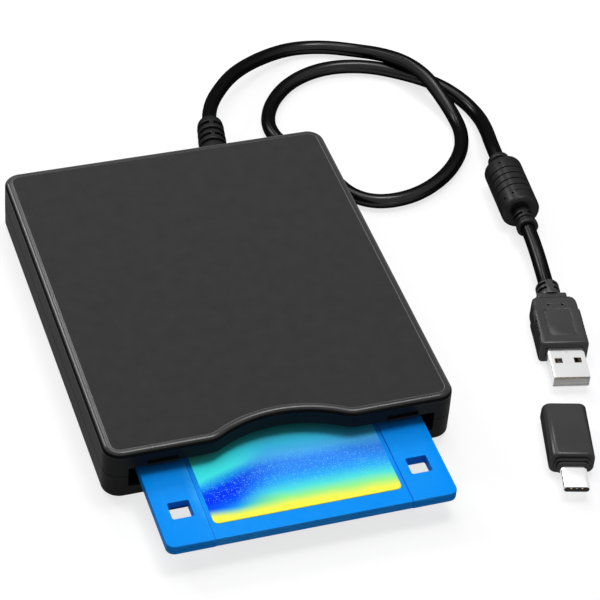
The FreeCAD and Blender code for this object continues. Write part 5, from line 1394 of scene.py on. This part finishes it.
def buildFeet():
    foot = buildPiece("foot", *latheZ(small["foot"]))
    shadeSmooth(foot)
    feet = growPiece("rubberFeet", partsOnSpots,
                     {"Part": foot, "Finish": finishes["rubber_black"], "Turn": small["footTurn"]},
                     [(x, y, 0.0) for x, y in case["feet"]])
    standFor(feet, "rubber_feet")


def buildScrews():
    head = buildPiece("screw", *latheZ(small["screwHead"]))
    wide, long, deep = small["cross"]
    for across, along in ((wide, long), (long, wide)):
        carve(head, box(span(0, across), span(0, along), (-beyond, deep)))
    soften(head, small["screwEdge"])
    turn, seed = small["screwTurn"]
    screws = growPiece("caseScrews", partsOnSpots,
                       {"Part": head, "Finish": finishes["screw_steel"], "Turn": turn, "Seed": seed},
                       [(x, y, case["foot"]) for x, y in case["screws"]])
    standFor(screws, "case_screws")


# Stator coils
coil = {
    "outer": 2.05,
    "inner": 0.93,
    "wire": 0.07,
    "turns": 9.0,
    "layers": (4, 0.12, 0.15),  # count, lowest, pitch
    "orbit": 9.2,
    "count": 9,
}


def windTree():
    # One coil: layers of wire wound in a spiral.
    tree, given, result = newTree("windCoil", [
        ("Turns", "NodeSocketFloat", coil["turns"]), ("Wire", "NodeSocketFloat", coil["wire"] * mm),
        ("Inner", "NodeSocketFloat", coil["inner"] * mm), ("Outer", "NodeSocketFloat", coil["outer"] * mm)])
    layers, lowest, pitch = coil["layers"]
    bundle = tree.nodes.new("GeometryNodeJoinGeometry")
    for layer in range(layers):
        spiral = addNode(tree, "GeometryNodeCurveSpiral", {
            "Resolution": 18, "Height": 0.0, "Rotations": given["Turns"], "Start Radius": given["Inner"],
            "End Radius": given["Outer"]})
        lift = addNode(tree, "GeometryNodeTransform",
                       {0: spiral.outputs[0], "Translation": (0, 0, (lowest + pitch * layer) * mm)})
        feed(tree, bundle, {0: lift.outputs[0]})
    wire = addNode(tree, "GeometryNodeCurvePrimitiveCircle", {"Resolution": 6, "Radius": given["Wire"]})
    wound = addNode(tree, "GeometryNodeCurveToMesh", {
        "Curve": bundle.outputs[0], "Profile Curve": wire.outputs[0], "Fill Caps": True})
    return closeTree(tree, given, result, wound.outputs[0])


def buildCoils():
    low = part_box("stator_coils")[0].z / mm
    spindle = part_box("spindle_shaft")
    centre = (spindle[0] + spindle[1]) / 2 / mm
    wound = growPiece("coil", windTree(), {"Finish": finishes["copper"]})
    coils = growPiece("statorCoils", ringOfParts,
                      {"Part": wound, "Count": coil["count"], "Radius": coil["orbit"] * mm,
                       "Finish": finishes["copper"]})
    coils.data.transform(Matrix.Translation(Vector((centre.x, centre.y, low)) * mm))
    coils.data.shade_smooth()
    standFor(coils, "stator_coils")


buildFeet()
buildScrews()
buildCoils()
print("feet, screws and coils built")


# Pieces that keep their own mesh
kept = {"weld": 1e-6, "bevel": 0.06, "angle": 35}


def dressNodes():
    shown = [name for name, node in frame["nodes"].items() if not node.hide_render]
    for name in shown:
        node = frame["nodes"][name]
        node.data.materials.clear()
        node.data.materials.append(finishes[slotOf[name]])
        weld = node.modifiers.new("weld", "WELD")
        weld.merge_threshold = kept["weld"]
        addBevel(node, kept["bevel"], angle=kept["angle"])
    print("nodes dressed:", len(shown))


dressNodes()


# Cord lengths, measured again; the results are not kept
def declareCords():
    cordLength(mainCord)
    cordLength(plugCord)


declareCords()


# Studio: a lamp is a place, a size and a power
studio = {
    "worldDiffuse": 0.20,
    "lamps": {
        "key": ((-0.57, 0.90, 0.74), 0.38, 4.8),
        "top": ((0.29, 0.13, 1.12), 0.34, 4.2),
        "fill": ((0.0, 0.35, 1.15), 0.8, 5.5),
        "line": ((0.04, 0.86, 0.90), 0.24, 1.8),
        "front": ((0.27, -0.95, 0.12), 0.2, 0.35),
    },
    "tableHalf": 4.0,
    "tableDrop": 0.0002,
    "tableShade": 0.26,
    "tableLift": 0.755,
    "tableFade": (0.5, 1.2),
}


def addLamp(name, place, size, power):
    lamp = bpy.data.lights.new(name, "AREA")
    lamp.shape = "DISK"
    lamp.size = size
    lamp.energy = power
    holder = bpy.data.objects.new(name, lamp)
    scene.collection.objects.link(holder)
    away = Vector(place)
    holder.matrix_world = Matrix.Translation(away) @ away.to_track_quat("Z", "Y").to_matrix().to_4x4()


def seenDirectly(tree):
    # 1 for what the camera sees, straight or in metal and clear plastic.
    path = addNode(tree, "ShaderNodeLightPath").outputs
    straight = addMath(tree, "MAXIMUM", path["Is Camera Ray"], path["Is Glossy Ray"])
    return addMath(tree, "MAXIMUM", straight, path["Is Transmission Ray"])


def buildWorld():
    world = bpy.data.worlds.new("studio")
    scene.world = world
    world.use_nodes = True
    tree = world.node_tree
    level = addMath(tree, "MAXIMUM", seenDirectly(tree), studio["worldDiffuse"])
    feed(tree, tree.nodes["Background"], {"Color": (1, 1, 1, 1), "Strength": level})


def tableTop():
    # Away from the drive the table turns from a shaded surface into plain white; from below it is clear.
    material, tree, shader = newMaterial("whiteTable")
    tree.nodes.remove(shader)
    math = partial(addMath, tree)
    reach = addNode(tree, "ShaderNodeVectorMath", {0: objectPlace(tree)}, operation="LENGTH")
    far = addRange(tree, reach.outputs["Value"], *studio["tableFade"])
    lift = math("ADD", math("MULTIPLY", far, 1.0 - studio["tableLift"]), studio["tableLift"])
    shade = addNode(tree, "ShaderNodeBsdfDiffuse",
                    {"Color": math("MULTIPLY", math("SUBTRACT", 1.0, far), studio["tableShade"])})
    glow = addNode(tree, "ShaderNodeEmission", {"Strength": math("MULTIPLY", seenDirectly(tree), lift)})
    both = addNode(tree, "ShaderNodeAddShader", {0: shade.outputs[0], 1: glow.outputs[0]})
    sided = addNode(tree, "ShaderNodeMixShader", {
        0: addNode(tree, "ShaderNodeNewGeometry").outputs["Backfacing"], 1: both.outputs[0],
        2: addNode(tree, "ShaderNodeBsdfTransparent").outputs[0]})
    feed(tree, tree.nodes["Material Output"], {"Surface": sided.outputs[0]})
    return material


def buildStudio():
    scene.view_settings.view_transform = "Standard"
    buildWorld()
    for name, lamp in studio["lamps"].items():
        addLamp(name, *lamp)
    half, drop = studio["tableHalf"], studio["tableDrop"]
    corners = [(-half, -half, -drop), (half, -half, -drop), (half, half, -drop), (-half, half, -drop)]
    buildPiece("whiteTable", corners, [(0, 1, 2, 3)], tableTop(), scale=1.0)


buildStudio()
print("scene ready")
